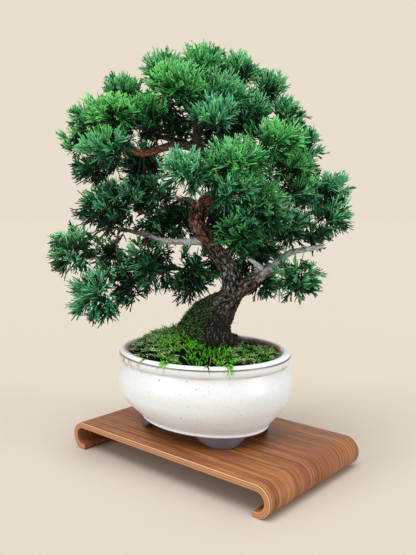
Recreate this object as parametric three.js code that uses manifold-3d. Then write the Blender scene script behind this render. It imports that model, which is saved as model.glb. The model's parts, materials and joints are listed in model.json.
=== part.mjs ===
// A bonsai juniper in a glazed oval pot, which stands on a bent-wood stand.
// Millimetres, +Z up. The stand runs along X, and its long front edge is at -Y.
// The tree has a front of its own, turned from the stand's: the branches and the sprays are given
// as seen from there, x to the right, y away from the viewer and z up, from the middle of the rim.

import * as THREE from 'three';
import { mergeVertices } from 'three/addons/utils/BufferGeometryUtils.js';
import Module from 'manifold-3d';

const wasm = await Module();
wasm.setup();

// ---- Driving dimensions ----

const SEAT = 0.3; // clearance between pieces that rest on each other
const FRONT_TURN = THREE.MathUtils.degToRad(41); // the tree's front, turned from the stand's

const STAND = { flat: 229, width: 152, board: 6, roll: 14.5, lip: 3.8, facets: 12 };

const POT = { long: 184, short: 161, height: 82, x: -8.7, y: -0.8, facets: 30 };
const POT_BELLY = 44; // from this height down, the pot narrows more across than along
const POT_TUCK = 8; // by this much at the feet
// How far inside the rim's outer edge each point of the wall lies, and its height above the feet.
const OUTER_WALL = [[21.5, 10], [19.5, 11.4], [9, 24], [1, 36], [-2.8, 50], [-1.2, 62], [2.3, 72.6],
  [0, 74.6], [0, 81.5], [4, 84.2], [8, 83.6], [9.5, 81]];
const INNER_WALL = [[9.5, 73], [4.5, 52], [7, 38], [18, 22], [28, 17]];
const FOOT = { top: 26, flat: 6, height: 12, depth: 10, inset: 21.3, along: 52, across: 46 };
const DRAIN = { apart: 56, diameter: 14 };
const DRAIN_MESH = { side: 22, thick: 1, holes: 2, hole: 7.6, pitch: 9.8 };

const SOIL_TOP = 76; // above the pot's feet
const MOSS = { edge: 79, low: 4, high: 19, tuft: 1.5 };
const TRUNK_SOCKET = 0.8; // the trunk's clearance in the soil and the moss
const TRUNK_SIDES = 10;
const BRANCH_SIDES = 5;

// Limbs: points along each, as x, y, z and the radius there.
const TRUNK = [[9, 0, -22, 24], [6, 0, 2, 28], [3.5, 0, 15, 29.5], [8, 0, 30, 22.5],
  [16.5, 0, 42, 17.8], [26, 1, 54, 12.5], [29, 2, 64, 11.5], [28, 2, 72, 10.5], [24, 0, 85, 9.5],
  [16, -2, 98, 9], [4, -4, 113, 9], [-4, -3, 123, 9], [-7, 0, 133, 9.5], [-5, 3, 143, 9.5],
  [3, 4, 151, 9], [15, 2, 158, 8], [25, 0, 167, 7.5], [26, -2, 178, 7], [18, -2, 188, 6.5],
  [4, 0, 198, 6], [-6, 1, 207, 5.5], [-7, 1, 222, 4], [-6, 0, 239, 3.4], [-4, 0, 256, 2.6],
  [-3, -2, 272, 2]];
const BRANCHES = {
  low_right: [[31, 1, 58, 9], [42, -1, 66, 8.6], [52, -3, 74, 7.5], [61, -6, 81, 6.6],
    [70, -9, 85, 5]],
  jin_right: [[66, -8, 83, 4.4], [76, -10, 92, 3.8], [85, -12, 100, 3.2], [96, -14, 103, 2.8],
    [116, -17, 107, 2.4]],
  jin_left: [[62, -8, 82, 3.4], [53, -13, 91, 2.8], [46, -17, 98, 2.2], [41, -20, 105, 1.2]],
  low_right_live: [[66, -7, 82, 4], [78, -12, 88, 3], [92, -22, 86, 2]],
  right_hook: [[15, 2, 157, 5], [33, 0, 147, 4], [50, -2, 139, 3], [59, -3, 126, 1.8],
    [66, -4, 108, 1.3]],
  left_dead: [[6, -4, 111, 5.5], [-10, -5, 111, 4.6], [-39, -9, 112, 4], [-53, -11, 117, 3.4],
    [-68, -13, 121, 3], [-80, -13, 124, 2.6], [-92, -14, 125, 2.2], [-102, -16, 122, 1.9],
    [-111, -18, 114, 1.5]],
  left_hanging: [[-83, -13, 124, 2], [-85, -16, 112, 1.6], [-84, -20, 98, 1.3]],
  left_hanging_outer: [[-93, -14, 124, 1.9], [-102, -19, 113, 1.5], [-105, -24, 100, 1.2]],
  left_middle: [[-3, 3, 146, 4], [-18, 7, 154, 2.8], [-36, 9, 146, 2.3], [-54, 6, 139, 2],
    [-70, -2, 142, 1.7]],
  crown_left: [[-2, 0, 202, 5], [-20, -4, 206, 4.4], [-36, -8, 204, 4], [-51, -11, 199, 3.6],
    [-64, -13, 198, 3], [-81, -14, 211, 2.4], [-97, -14, 226, 1.8]],
  crown_left_back: [[-4, 2, 204, 3.6], [-26, 10, 212, 3], [-44, 15, 217, 2.5], [-76, 26, 232, 1.7]],
  crown_right: [[-6, 0, 230, 3.2], [18, -2, 244, 2.6], [44, -4, 250, 1.9]],
  crown_back: [[-6, 0, 212, 3.4], [-2, 18, 226, 2.6], [4, 34, 246, 1.8]],
  crown_front: [[-6, -1, 232, 3], [-12, -20, 240, 2.4], [-18, -36, 246, 1.8]],
  high_right: [[24, 0, 172, 4.6], [46, 3, 190, 3.8], [74, 1, 202, 3], [92, -8, 200, 2]],
  high_right_back: [[52, 3, 193, 3], [62, 18, 200, 2.4], [70, 30, 204, 1.8]],
  middle_right: [[22, 0, 162, 4.8], [44, -12, 167, 4], [74, -11, 164, 3.2], [98, -10, 152, 2.3]],
  middle_right_back: [[84, -10, 160, 2.6], [94, 8, 156, 2.1], [102, 22, 154, 1.7]],
  front: [[17, 0, 159, 4.4], [13, -24, 168, 3.2], [6, -48, 173, 2.3]],
  back_low: [[4, -2, 112, 4.4], [16, 16, 112, 3.2], [30, 28, 106, 2.2]],
};

// Sprays: the middle of each tuft, half of its width and height, and its green.
const SPRAYS = {
  crown_top: [-3, -10, 281, 23, 21, 'mid'],
  crown_left: [-37, -5, 275, 23, 19, 'mid'],
  crown_front: [-23, -53, 252, 23, 16, 'bright'],
  crown_right: [34, -5, 275, 19, 18, 'mid'],
  crown_back: [1, 45, 276, 30, 22, 'mid'],
  upper_right: [62, 0, 260, 20, 15, 'mid'],
  upper_left: [-78, 0, 256, 20, 17, 'mid'],
  left_bright: [-82, -50, 230, 22, 14, 'bright'],
  left_outer_high: [-114, -10, 237, 18, 17, 'mid'],
  left_outer_low: [-120, -5, 209, 17, 15, 'mid'],
  left_teal: [-86, -45, 200, 22, 12, 'blue'],
  left_under: [-103, 8, 184, 26, 12, 'dark'],
  left_back: [-94, 45, 230, 28, 22, 'mid'],
  inner_left: [-53, -24, 230, 20, 15, 'dark'],
  inner_left_back: [-62, 30, 186, 17, 17, 'dark'],
  center_front: [16, -40, 244, 20, 17, 'dark'],
  center_back: [22, 42, 230, 26, 22, 'dark'],
  center_sprig: [11, -60, 224, 13, 11, 'blue'],
  inner_right: [42, -25, 230, 17, 18, 'dark'],
  right_upper: [77, -5, 233, 20, 17, 'mid'],
  right_bright: [65, -55, 204, 20, 13, 'bright'],
  right_outer: [98, -15, 205, 17, 15, 'mid'],
  right_front: [85, -34, 182, 22, 13, 'dark'],
  right_back: [80, 42, 206, 28, 24, 'dark'],
  far_right_high: [123, -10, 164, 23, 15, 'blue'],
  far_right_low: [124, -15, 136, 20, 17, 'mid'],
  right_lower_front: [88, -40, 158, 17, 13, 'blue'],
  far_right_back: [112, 36, 154, 22, 20, 'dark'],
  front_left: [-16, -73, 176, 23, 14, 'blue'],
  front_right: [26, -66, 183, 25, 12, 'bright'],
  front_low: [27, -66, 159, 20, 11, 'blue'],
  right_drop: [54, -50, 143, 18, 17, 'mid'],
  low_center: [37, -42, 120, 16, 13, 'bright'],
  low_right: [80, -20, 126, 20, 14, 'dark'],
  low_right_edge: [108, 4, 118, 18, 12, 'dark'],
  back_middle: [19, 38, 132, 18, 20, 'dark'],
  jin_spray: [96, -30, 83, 23, 19, 'mid'],
  low_back_right: [60, 12, 66, 18, 13, 'dark'],
  middle_left: [-89, -15, 150, 25, 18, 'blue'],
  middle_left_inner: [-54, 8, 156, 17, 13, 'dark'],
  inner_middle: [-24, 24, 136, 16, 16, 'dark'],
  low_left_tip: [-128, -20, 102, 25, 22, 'mid'],
  low_left_front: [-101, -36, 61, 29, 23, 'blue'],
  low_left_middle: [-55, -10, 87, 25, 20, 'dark'],
  low_left_inner: [-76, 4, 60, 17, 17, 'dark'],
  hanging: [-14, 6, 78, 17, 22, 'dark'],
  under_trunk: [14, 17, 88, 11, 10, 'dark'],
  low_left_back: [-97, 22, 94, 20, 15, 'dark'],
  low_left_high: [-44, 8, 124, 14, 11, 'dark'],
  low_back: [52, 42, 100, 23, 20, 'dark'],
};
const DEPTH_SHARE = 0.85; // a spray's depth against its width
const ENTRY = 0.62; // how far out from its middle, against its size, a spray's stem starts
const NEEDLE = { radius: 0.65, length: 15, shortest: 8, longest: 24, perRoot: 2, perWidth: 0.61 };
const STEM = { radius: 1.6, side: 1.4, root: 0.3, spacing: 1.8 };
const CLEAR = 0.4; // least clearance between a spray and anything that isn't its own

const COLOURS = {
  walnut: 0x8a5636, glaze: 0xe9eae8, plastic: 0x1c1c1c, soil: 0x2b2118, moss: 0x4f8a2c,
  bark: 0x5c4334, bright: 0x5fb04a, mid: 0x2f7d4f, blue: 0x2f8a6a, dark: 0x24482f,
};

// ---- Geometry helpers ----

const vec = (x, y, z) => new THREE.Vector3(x, y, z);

// A closed manifold from a three.js geometry, its shared corners merged.
function solid(geometry) {
  const plain = geometry.clone();
  plain.deleteAttribute('normal');
  plain.deleteAttribute('uv');
  const merged = mergeVertices(plain, 1e-3);
  return new wasm.Manifold(new wasm.Mesh({
    numProp: 3,
    vertProperties: new Float32Array(merged.attributes.position.array),
    triVerts: new Uint32Array(merged.index.array),
  }));
}

function geometryOf(manifold) {
  const mesh = manifold.getMesh();
  const geometry = new THREE.BufferGeometry();
  geometry.setAttribute('position', new THREE.BufferAttribute(mesh.vertProperties, 3));
  geometry.setIndex(new THREE.BufferAttribute(mesh.triVerts, 1));
  return geometry;
}

const joined = (solids) => solids.reduce((whole, next) => whole.add(next));

// The largest body of a union, without any scrap that fusing leaves loose.
function largest(manifold) {
  const bodies = manifold.decompose();
  bodies.sort((a, b) => b.volume() - a.volume());
  return bodies[0];
}

function part(name, manifold, colour, roughness) {
  const material = new THREE.MeshStandardMaterial({ color: colour, roughness, metalness: 0 });
  const mesh = new THREE.Mesh(geometryOf(manifold), material);
  mesh.name = name;
  return mesh;
}

// A repeatable draw between 0 and 1.
function seeded(seed) {
  let state = seed;
  return () => {
    state = (Math.imul(state, 1664525) + 1013904223) >>> 0;
    return state / 4294967296;
  };
}

// Move every corner of a geometry by a rule.
function reshape(geometry, rule) {
  const position = geometry.attributes.position;
  const corner = vec(0, 0, 0);
  for (let i = 0; i < position.count; i += 1) {
    corner.fromBufferAttribute(position, i);
    rule(corner);
    position.setXYZ(i, corner.x, corner.y, corner.z);
  }
  return geometry;
}

// A tapering limb: a plain lathe, one ring at each point, laid along a smooth curve.
function limb(points, sides, swell = () => 1) {
  const centres = points.map(([x, y, z]) => vec(x, y, z));
  const curve = new THREE.CatmullRomCurve3(centres, false, 'centripetal');
  const last = points.length - 1;
  let normal = vec(1, 0, 0);
  const rings = points.map((point, i) => {
    const along = curve.getTangent(i / last);
    if (Math.abs(along.dot(normal)) > 0.95) normal = vec(0, 1, 0);
    normal = normal.clone().addScaledVector(along, -along.dot(normal)).normalize();
    const across = normal.clone().cross(along);
    return { centre: centres[i], radius: point[3], normal, across };
  });
  const profile = [new THREE.Vector2(0, 0)];
  rings.forEach((ring, i) => profile.push(new THREE.Vector2(1, i)));
  profile.push(new THREE.Vector2(0, last));
  return reshape(new THREE.LatheGeometry(profile, sides), (corner) => {
    const ring = rings[Math.round(corner.y)];
    const angle = Math.atan2(corner.x, corner.z);
    const reach = ring.radius * swell(angle, ring.centre.z);
    const { x, z } = corner;
    corner.copy(ring.centre);
    corner.addScaledVector(ring.normal, x * reach);
    corner.addScaledVector(ring.across, z * reach);
  });
}

// ---- The stand: one board with both ends rolled under ----

function standBoard() {
  const inner = STAND.roll - STAND.board;
  const half = STAND.flat / 2;
  const step = Math.PI / STAND.facets;
  const widen = 1 / Math.cos(step / 2); // keeps the facets, not the corners, on the round
  const arc = (radius, from, to) => {
    const turns = Math.round(Math.abs(to - from) / step);
    const corners = [];
    for (let i = 0; i <= turns; i += 1) {
      const angle = from + ((to - from) * i) / turns;
      corners.push([half + radius * widen * Math.cos(angle),
        STAND.roll + radius * widen * Math.sin(angle)]);
    }
    return corners;
  };
  const top = Math.PI / 2 - step / 2;
  const bottom = -Math.PI / 2 - step / 2;
  const lip = half - STAND.lip;
  const right = [...arc(STAND.roll, top, bottom),
    [lip + 0.7, 0.9], [lip, 2.6], [lip, STAND.board - 0.8], [lip + 0.6, STAND.board],
    ...arc(inner, bottom, top).slice(1)];
  const left = right.map(([x, z]) => [-x, z]).reverse();
  const outline = [...right, ...left].map(([x, z]) => new THREE.Vector2(x, z));
  const board = new THREE.ExtrudeGeometry(new THREE.Shape(outline),
    { depth: STAND.width, bevelEnabled: false, steps: 1 });
  board.rotateX(Math.PI / 2);
  board.translate(0, STAND.width / 2, 0);
  return solid(board);
}

// ---- The pot, its soil and moss ----

const halfLong = POT.long / 2;
const shorter = (POT.long - POT.short) / 2;

// How much less the pot's oval measures across than along, at a height above the feet.
function shorterAt(height) {
  return shorter + POT_TUCK * (1 - THREE.MathUtils.smoothstep(height, FOOT.height, POT_BELLY));
}

// A lathe in the pot's oval: every ring is narrower than it is long.
function ovalLathe(points) {
  const profile = points.map(([inset, height]) => new THREE.Vector2(halfLong - inset, height));
  const lathe = new THREE.LatheGeometry(profile, POT.facets);
  lathe.rotateX(Math.PI / 2);
  return reshape(lathe, (corner) => {
    const radius = Math.max(Math.hypot(corner.x, corner.y), halfLong / 2);
    corner.y *= (radius - shorterAt(corner.z)) / radius;
  });
}

// A round-cornered bracket under the wall, bent to the oval.
function potFoot(side, front) {
  const { top, flat, height, depth, inset, along, across } = FOOT;
  const outline = new THREE.Shape();
  outline.moveTo(-top, height);
  outline.quadraticCurveTo(-top + 9, 2, -flat - 3, 0.4);
  outline.lineTo(-flat, 0);
  outline.lineTo(flat, 0);
  outline.lineTo(flat + 3, 0.4);
  outline.quadraticCurveTo(top - 9, 2, top, height);
  const bracket = new THREE.ExtrudeGeometry(outline,
    { depth, bevelEnabled: false, steps: 1, curveSegments: 4 });
  const middle = Math.atan2(front * across, side * along);
  const long = halfLong - inset;
  const short = long - shorterAt(0);
  const mean = Math.hypot(long * Math.cos(middle), short * Math.sin(middle));
  return solid(reshape(bracket, (corner) => {
    const angle = middle + corner.x / mean;
    const inward = depth - corner.z;
    corner.set((long - inward) * Math.cos(angle), (short - inward) * Math.sin(angle), corner.y);
  }));
}

function drainHole(side) {
  const hole = new THREE.CylinderGeometry(DRAIN.diameter / 2, DRAIN.diameter / 2, 40, 16);
  hole.rotateX(Math.PI / 2);
  hole.translate((side * DRAIN.apart) / 2, 0, 0);
  return solid(hole);
}

function potBody() {
  const wall = ovalLathe([[halfLong, OUTER_WALL[0][1]], ...OUTER_WALL, ...INNER_WALL,
    [halfLong, INNER_WALL.at(-1)[1]]]);
  const feet = [[1, 1], [1, -1], [-1, 1], [-1, -1]].map(([side, front]) => potFoot(side, front));
  return joined([solid(wall), ...feet]).subtract(drainHole(1)).subtract(drainHole(-1));
}

// A square of coarse plastic mesh over one drain hole.
function drainMesh(side) {
  const { thick, holes, hole, pitch } = DRAIN_MESH;
  let plate = solid(new THREE.BoxGeometry(DRAIN_MESH.side, DRAIN_MESH.side, thick));
  for (let i = 0; i < holes; i += 1) {
    for (let j = 0; j < holes; j += 1) {
      const opening = new THREE.BoxGeometry(hole, hole, thick * 3);
      opening.translate((i - (holes - 1) / 2) * pitch, (j - (holes - 1) / 2) * pitch, 0);
      plate = plate.subtract(solid(opening));
    }
  }
  return plate.translate([(side * DRAIN.apart) / 2, 0, INNER_WALL.at(-1)[1] + SEAT + thick / 2]);
}

function meshPocket(side) {
  const room = DRAIN_MESH.side + 2 * SEAT;
  const pocket = new THREE.BoxGeometry(room, room, 2 * (DRAIN_MESH.thick + 2 * SEAT));
  pocket.translate((side * DRAIN.apart) / 2, 0, INNER_WALL.at(-1)[1]);
  return solid(pocket);
}

// From the tree's own frame, at the middle of the rim, to the pot's.
function toPot(geometry) {
  geometry.rotateZ(FRONT_TURN);
  geometry.translate(0, 0, POT.height);
  return geometry;
}

// The trunk's foot with its clearance, to cut from what it stands in.
function trunkSocket() {
  const foot = TRUNK.slice(0, 6).map(([x, y, z, radius]) => [x, y, z, radius + TRUNK_SOCKET]);
  foot[0][2] -= SEAT;
  return solid(toPot(limb(foot, TRUNK_SIDES)));
}

function soilBody() {
  const inside = INNER_WALL.map(([inset, height]) => [inset + 2 * SEAT, height]);
  const floor = INNER_WALL.at(-1)[1] + SEAT;
  inside.at(-1)[1] = floor;
  const edge = [inside[0][0], SOIL_TOP];
  const ball = ovalLathe([[halfLong, floor], ...inside.reverse(), edge, [halfLong, SOIL_TOP]]);
  return solid(ball).subtract(trunkSocket()).subtract(meshPocket(1)).subtract(meshPocket(-1));
}

// How high the moss stands above its edge: a mound to the left of the trunk, low on the right.
function mossHeight(x, y, outward) {
  const across = x * Math.cos(FRONT_TURN) + y * Math.sin(FRONT_TURN);
  const left = THREE.MathUtils.smoothstep(-across, -35, 30);
  const tufts = MOSS.tuft * (Math.sin(x * 0.31 + 1) + Math.sin(y * 0.37 + x * 0.12));
  return (MOSS.low + (MOSS.high - MOSS.low) * left + tufts) * (1 - outward ** 4);
}

function mossBody() {
  const edge = INNER_WALL[0][0] + 2 * SEAT;
  const reach = halfLong - edge;
  const bottom = SOIL_TOP + SEAT;
  const rings = [1, 0.88, 0.74, 0.58, 0.4, 0.2].map((outward) => [halfLong - reach * outward,
    MOSS.edge]);
  const cap = ovalLathe([[halfLong, bottom], [edge, bottom], ...rings, [halfLong, MOSS.edge]]);
  reshape(cap, (corner) => {
    if (corner.z < MOSS.edge - 0.1) return;
    const outward = Math.min(1, Math.hypot(corner.x / reach, corner.y / (reach - shorter)));
    corner.z += mossHeight(corner.x, corner.y, outward);
  });
  return largest(solid(cap).subtract(trunkSocket()));
}

// ---- The tree's wood ----

// Shallow flutes that wind up the trunk, from just above the soil.
function flutes(angle, height) {
  const depth = THREE.MathUtils.smoothstep(height, 20, 50) * 0.09;
  const wide = Math.sin(3 * angle + height * 0.07);
  const narrow = Math.sin(5 * angle - height * 0.11);
  return 1 + depth * (wide + 0.5 * narrow);
}

const isJin = (name) => name.startsWith('jin');

// ---- Keeping the sprays clear of each other ----

const taken = []; // every limb, stem and needle so far: its two ends, radius and owner

// The shortest distance between two straight pieces.
function distance(a, b, c, d) {
  const first = b.clone().sub(a);
  const second = d.clone().sub(c);
  const between = a.clone().sub(c);
  const aa = first.dot(first);
  const ee = second.dot(second);
  const ff = second.dot(between);
  const cc = first.dot(between);
  const bb = first.dot(second);
  const cross = aa * ee - bb * bb;
  const clamp = THREE.MathUtils.clamp;
  let s = cross > 1e-9 ? clamp((bb * ff - cc * ee) / cross, 0, 1) : 0;
  let t = (bb * s + ff) / ee;
  if (t < 0) s = clamp(-cc / aa, 0, 1);
  if (t > 1) s = clamp((bb - cc) / aa, 0, 1);
  t = clamp(t, 0, 1);
  return between.addScaledVector(first, s).addScaledVector(second, -t).length();
}

// Whether a straight piece passes clear of all that's taken. Its own spray's pieces may meet its
// root, but not the rest of it, and the piece that it grows from isn't tested.
function isClear(from, to, radius, owner, parent) {
  const beyondRoot = to.clone().sub(from).setLength(3 * radius).add(from);
  return taken.every((other) => {
    if (other === parent) return true;
    const own = other.owner === owner;
    const least = radius + other.radius + (own ? -1.5 * CLEAR : CLEAR);
    return distance(own ? beyondRoot : from, to, other.from, other.to) > least;
  });
}

// A direction that is one of several spread evenly over a ball.
function spread(index, count, turn) {
  const height = 1 - (2 * index + 1) / count;
  const round = Math.sqrt(1 - height * height);
  const angle = index * 2.39996 + turn;
  return vec(round * Math.cos(angle), round * Math.sin(angle), height);
}

// ---- One spray: a stem, a few side twigs and three-sided needles ----

class Spray {
  constructor(name, [x, y, z, wide, high, green], seed) {
    this.name = name;
    this.green = green;
    this.middle = vec(x, y, z);
    this.size = vec(wide, wide * DEPTH_SHARE, high);
    this.random = seeded(seed);
    this.pieces = [];
    this.roots = []; // places along the stem and twigs that needles can grow from
  }

  // The point at a share of the way from the middle to the tuft's surface.
  at(direction, share) {
    return direction.clone().multiply(this.size).multiplyScalar(share).add(this.middle);
  }

  inside(point) {
    return point.clone().sub(this.middle).divide(this.size).length();
  }

  // A stem or twig, as points with a radius each, with places along it for needles.
  grow(points, firstRoot) {
    this.pieces.push(points);
    points.slice(1).forEach((point, i) => {
      const from = vec(...points[i]);
      const to = vec(...point);
      const piece = { from, to, radius: points[i][3], owner: this.name };
      taken.push(piece);
      const along = to.clone().sub(from);
      const steps = Math.floor(along.length() / STEM.spacing);
      along.normalize();
      for (let step = i === 0 ? firstRoot : 0; step < steps; step += 1) {
        const place = from.clone().addScaledVector(along, (step + 0.5) * STEM.spacing);
        this.roots.push({ place, along, piece, used: 0 });
      }
    });
  }

  // The tree's twig reaches from its limb into the tuft, and the stem carries on from its end.
  plantStem(limbs, twigs) {
    const start = nearestOn(limbs, this.middle);
    const reach = start.place.distanceTo(this.middle);
    const share = this.inside(start.place);
    const outside = share > ENTRY + 0.1 ? reach * (1 - ENTRY / share) : 0;
    const joint = Math.max(outside, start.radius + 3);
    for (let tries = 0; tries < 60; tries += 1) {
      const sway = vec(this.random() - 0.5, this.random() - 0.5, this.random() - 0.5);
      const middle = this.middle.clone().addScaledVector(sway, tries * 0.5);
      const aim = middle.clone().sub(start.place).normalize();
      const bark = start.place.clone().addScaledVector(aim, start.radius + 3);
      const end = start.place.clone().addScaledVector(aim, joint);
      const stem = end.clone().addScaledVector(aim, SEAT);
      const tip = middle.clone().addScaledVector(aim, this.size.z * 0.3);
      tip.z += this.size.z * 0.15;
      const { name } = this;
      const { segment } = start;
      if ((joint < start.radius + 4 || isClear(bark, end, STEM.radius, 'twig', segment))
        && isClear(stem, middle, STEM.radius, name, segment)
        && isClear(middle, tip, STEM.radius, name, segment)) {
        const { radius } = STEM;
        twigs.push(rooted(start.place, end, radius, start.radius));
        taken.push({ from: start.place, to: end, radius, owner: 'tree' });
        this.grow([[...stem, radius], [...middle, radius], [...tip, STEM.side]], 1);
        return;
      }
    }
    throw new Error(`${this.name}: no way in for its stem`);
  }

  // The free root that suits a target best, if a straight piece from it passes clear.
  bestRoot(target, radius, costOf) {
    const choices = this.roots.filter((root) => root.used < NEEDLE.perRoot).map((root) => {
      const way = target.clone().sub(root.place);
      const length = way.length();
      return { root, cost: costOf(length, way.normalize().dot(root.along)) };
    }).filter(({ cost }) => cost < Infinity);
    choices.sort((a, b) => a.cost - b.cost);
    const found = choices.slice(0, 8).find(({ root }) => isClear(root.place, target, radius,
      this.name, root.piece));
    if (found) found.root.used += 1;
    return found?.root;
  }

  growSideTwigs() {
    const count = this.size.x < 25 ? 2 : 3;
    const turn = this.random() * 6;
    for (let i = 0; i < count; i += 1) {
      const target = this.at(spread(i, count, turn), 0.58);
      const root = this.bestRoot(target, STEM.side,
        (length, lean) => (length > 5 ? length - 6 * lean : Infinity));
      if (root) this.grow(rooted(root.place, target, STEM.side, STEM.radius), 1);
    }
  }

  // One needle to a place on the tuft's surface.
  growNeedle(index) {
    const count = Math.round(this.size.x * NEEDLE.perWidth);
    if (index >= count) return;
    for (let tries = 0; tries < 10; tries += 1) {
      const tip = this.at(spread(index, count, this.turn + tries * 0.17), 1 - tries * 0.01);
      const root = this.bestRoot(tip, NEEDLE.radius, (length, lean) => (
        length > NEEDLE.shortest && length < NEEDLE.longest
          ? Math.abs(length - NEEDLE.length) - 5 * lean : Infinity));
      if (root) {
        const needle = [[...root.place, NEEDLE.radius], [...tip, 0]];
        this.pieces.push(needle);
        taken.push({ from: root.place, to: tip, radius: NEEDLE.radius, owner: this.name });
        return;
      }
    }
  }

  body() {
    return largest(joined(this.pieces.map((points) => solid(limb(points, 3)))));
  }
}

// A twig that starts as a point inside what it grows from, and has its full radius outside it.
function rooted(from, to, radius, cover) {
  const out = to.clone().sub(from).setLength(cover * 1.3).add(from);
  return [[...from, STEM.root], [...out, radius], [...to, radius]];
}

// The nearest place on any living limb, a little back towards the trunk.
function nearestOn(limbs, point) {
  let best = null;
  limbs.forEach((segment) => {
    const along = segment.to.clone().sub(segment.from);
    const share = THREE.MathUtils.clamp(
      point.clone().sub(segment.from).dot(along) / along.lengthSq(), 0, 1);
    const place = segment.from.clone().addScaledVector(along, share * 0.85);
    const gap = place.distanceTo(point);
    if (!best || gap < best.gap) {
      best = { gap, place, segment, radius: segment.radius };
    }
  });
  return best;
}

// ---- Build ----

const limbSegments = [];
Object.entries({ trunk: TRUNK, ...BRANCHES }).forEach(([name, points]) => {
  points.slice(1).forEach((point, i) => {
    const from = vec(...points[i]);
    const to = vec(...point);
    const radius = Math.max(points[i][3], point[3]) * 1.15;
    const segment = { from, to, radius, owner: 'tree' };
    taken.push(segment);
    if (!isJin(name) && (name !== 'trunk' || from.z > 90)) limbSegments.push(segment);
  });
});

const sprays = Object.entries(SPRAYS).map(([name, row], i) => new Spray(name, row, 7919 * (i + 1)));
const twigs = [];
sprays.forEach((spray) => spray.plantStem(limbSegments, twigs));
sprays.forEach((spray) => spray.growSideTwigs());
sprays.forEach((spray) => {
  spray.turn = spray.random() * 6;
});
for (let index = 0; index < 20; index += 1) sprays.forEach((spray) => spray.growNeedle(index));

const wood = joined([
  solid(limb(TRUNK, TRUNK_SIDES, flutes)),
  ...Object.values(BRANCHES).map((points) => solid(limb(points, BRANCH_SIDES))),
  ...twigs.map((twig) => solid(limb(twig, 3))),
]);

const planted = new THREE.Group();
planted.position.set(POT.x, POT.y, 2 * STAND.roll + SEAT);
planted.add(part('pot', potBody(), COLOURS.glaze, 0.25));
planted.add(part('drain_mesh_right', drainMesh(1), COLOURS.plastic, 0.6));
planted.add(part('drain_mesh_left', drainMesh(-1), COLOURS.plastic, 0.6));
planted.add(part('soil', soilBody(), COLOURS.soil, 1));
planted.add(part('moss', mossBody(), COLOURS.moss, 1));

const plant = new THREE.Group();
plant.position.z = POT.height;
plant.rotation.z = FRONT_TURN;
plant.add(part('tree', wood, COLOURS.bark, 0.9));
sprays.forEach((spray) => {
  plant.add(part(`spray_${spray.name}`, spray.body(), COLOURS[spray.green], 0.7));
});
planted.add(plant);

const bonsai = new THREE.Group();
bonsai.add(part('stand', standBoard(), COLOURS.walnut, 0.5), planted);

// The origin is under the middle of the whole object, on the surface that it stands on.
const middle = new THREE.Box3().setFromObject(bonsai, true).getCenter(vec(0, 0, 0));
bonsai.position.set(-middle.x, -middle.y, 0);

export default bonsai;
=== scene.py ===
# %% [markdown]
# # A bonsai juniper in a glazed pot
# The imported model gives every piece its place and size. This script only adds the looks: glaze,
# walnut veneer, bark, bare dead wood, moss, and thousands of scale-leaf shoots. All of it is made
# by code from a few real sizes, so one number changes a whole finish.

# %% Start
import json
import math

import bpy
import numpy as np
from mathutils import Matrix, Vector, noise
from mathutils.kdtree import KDTree


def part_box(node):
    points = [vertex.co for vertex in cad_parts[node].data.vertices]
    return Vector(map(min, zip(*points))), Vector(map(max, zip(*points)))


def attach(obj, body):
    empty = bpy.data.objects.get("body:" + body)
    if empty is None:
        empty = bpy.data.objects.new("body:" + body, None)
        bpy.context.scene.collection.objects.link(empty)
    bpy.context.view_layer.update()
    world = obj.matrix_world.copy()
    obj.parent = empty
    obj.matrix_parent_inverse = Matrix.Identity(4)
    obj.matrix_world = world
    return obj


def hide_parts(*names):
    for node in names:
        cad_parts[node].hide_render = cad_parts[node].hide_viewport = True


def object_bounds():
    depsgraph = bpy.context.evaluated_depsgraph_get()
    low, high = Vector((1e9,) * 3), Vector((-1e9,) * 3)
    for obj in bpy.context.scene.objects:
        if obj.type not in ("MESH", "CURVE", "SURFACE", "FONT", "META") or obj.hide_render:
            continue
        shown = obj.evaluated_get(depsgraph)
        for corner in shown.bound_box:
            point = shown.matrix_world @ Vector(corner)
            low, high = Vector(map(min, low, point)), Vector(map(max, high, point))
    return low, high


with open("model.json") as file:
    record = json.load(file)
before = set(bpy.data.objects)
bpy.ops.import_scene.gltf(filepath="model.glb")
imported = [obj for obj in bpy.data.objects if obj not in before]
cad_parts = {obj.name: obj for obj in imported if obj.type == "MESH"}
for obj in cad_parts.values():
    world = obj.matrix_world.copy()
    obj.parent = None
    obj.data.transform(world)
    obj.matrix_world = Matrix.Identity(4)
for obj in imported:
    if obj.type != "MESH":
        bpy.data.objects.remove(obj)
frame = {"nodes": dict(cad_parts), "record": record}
CAD_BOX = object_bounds()
MM = 0.001
print("nodes in the frame:", len(frame["nodes"]))

# %% [markdown]
# ## Helpers
# Colours are picked as they look on a screen, so one function turns them to the linear values that
# a renderer adds and multiplies. Another adds a shader node with its settings and links, which keeps
# each material readable as a short recipe. A node's inputs go by name or number: a MapRange takes a
# value (0), the range it is in (1, 2) and the range that it is turned to (3, 4).

# %% Colour and node helpers
BELOW, ABOVE = 6, 7  # the Mix node's two colours: the share 0 shows the one below


def linear(code):
    """An sRGB hex code as linear red, green, blue and alpha."""
    parts = [int(code[i : i + 2], 16) / 255 for i in (1, 3, 5)]
    return [c / 12.92 if c <= 0.04045 else ((c + 0.055) / 1.055) ** 2.4 for c in parts] + [1]


def feed(node, inputs):
    """Fills inputs of a node, each from another node, a socket, a hex colour or a number."""
    for key, value in inputs.items():
        if isinstance(value, bpy.types.Node):  # it stands for its first output that is in use
            value = next(output for output in value.outputs if output.enabled)
        if isinstance(value, bpy.types.NodeSocket):
            node.id_data.links.new(value, node.inputs[key])
        else:
            node.inputs[key].default_value = linear(value) if isinstance(value, str) else value


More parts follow.
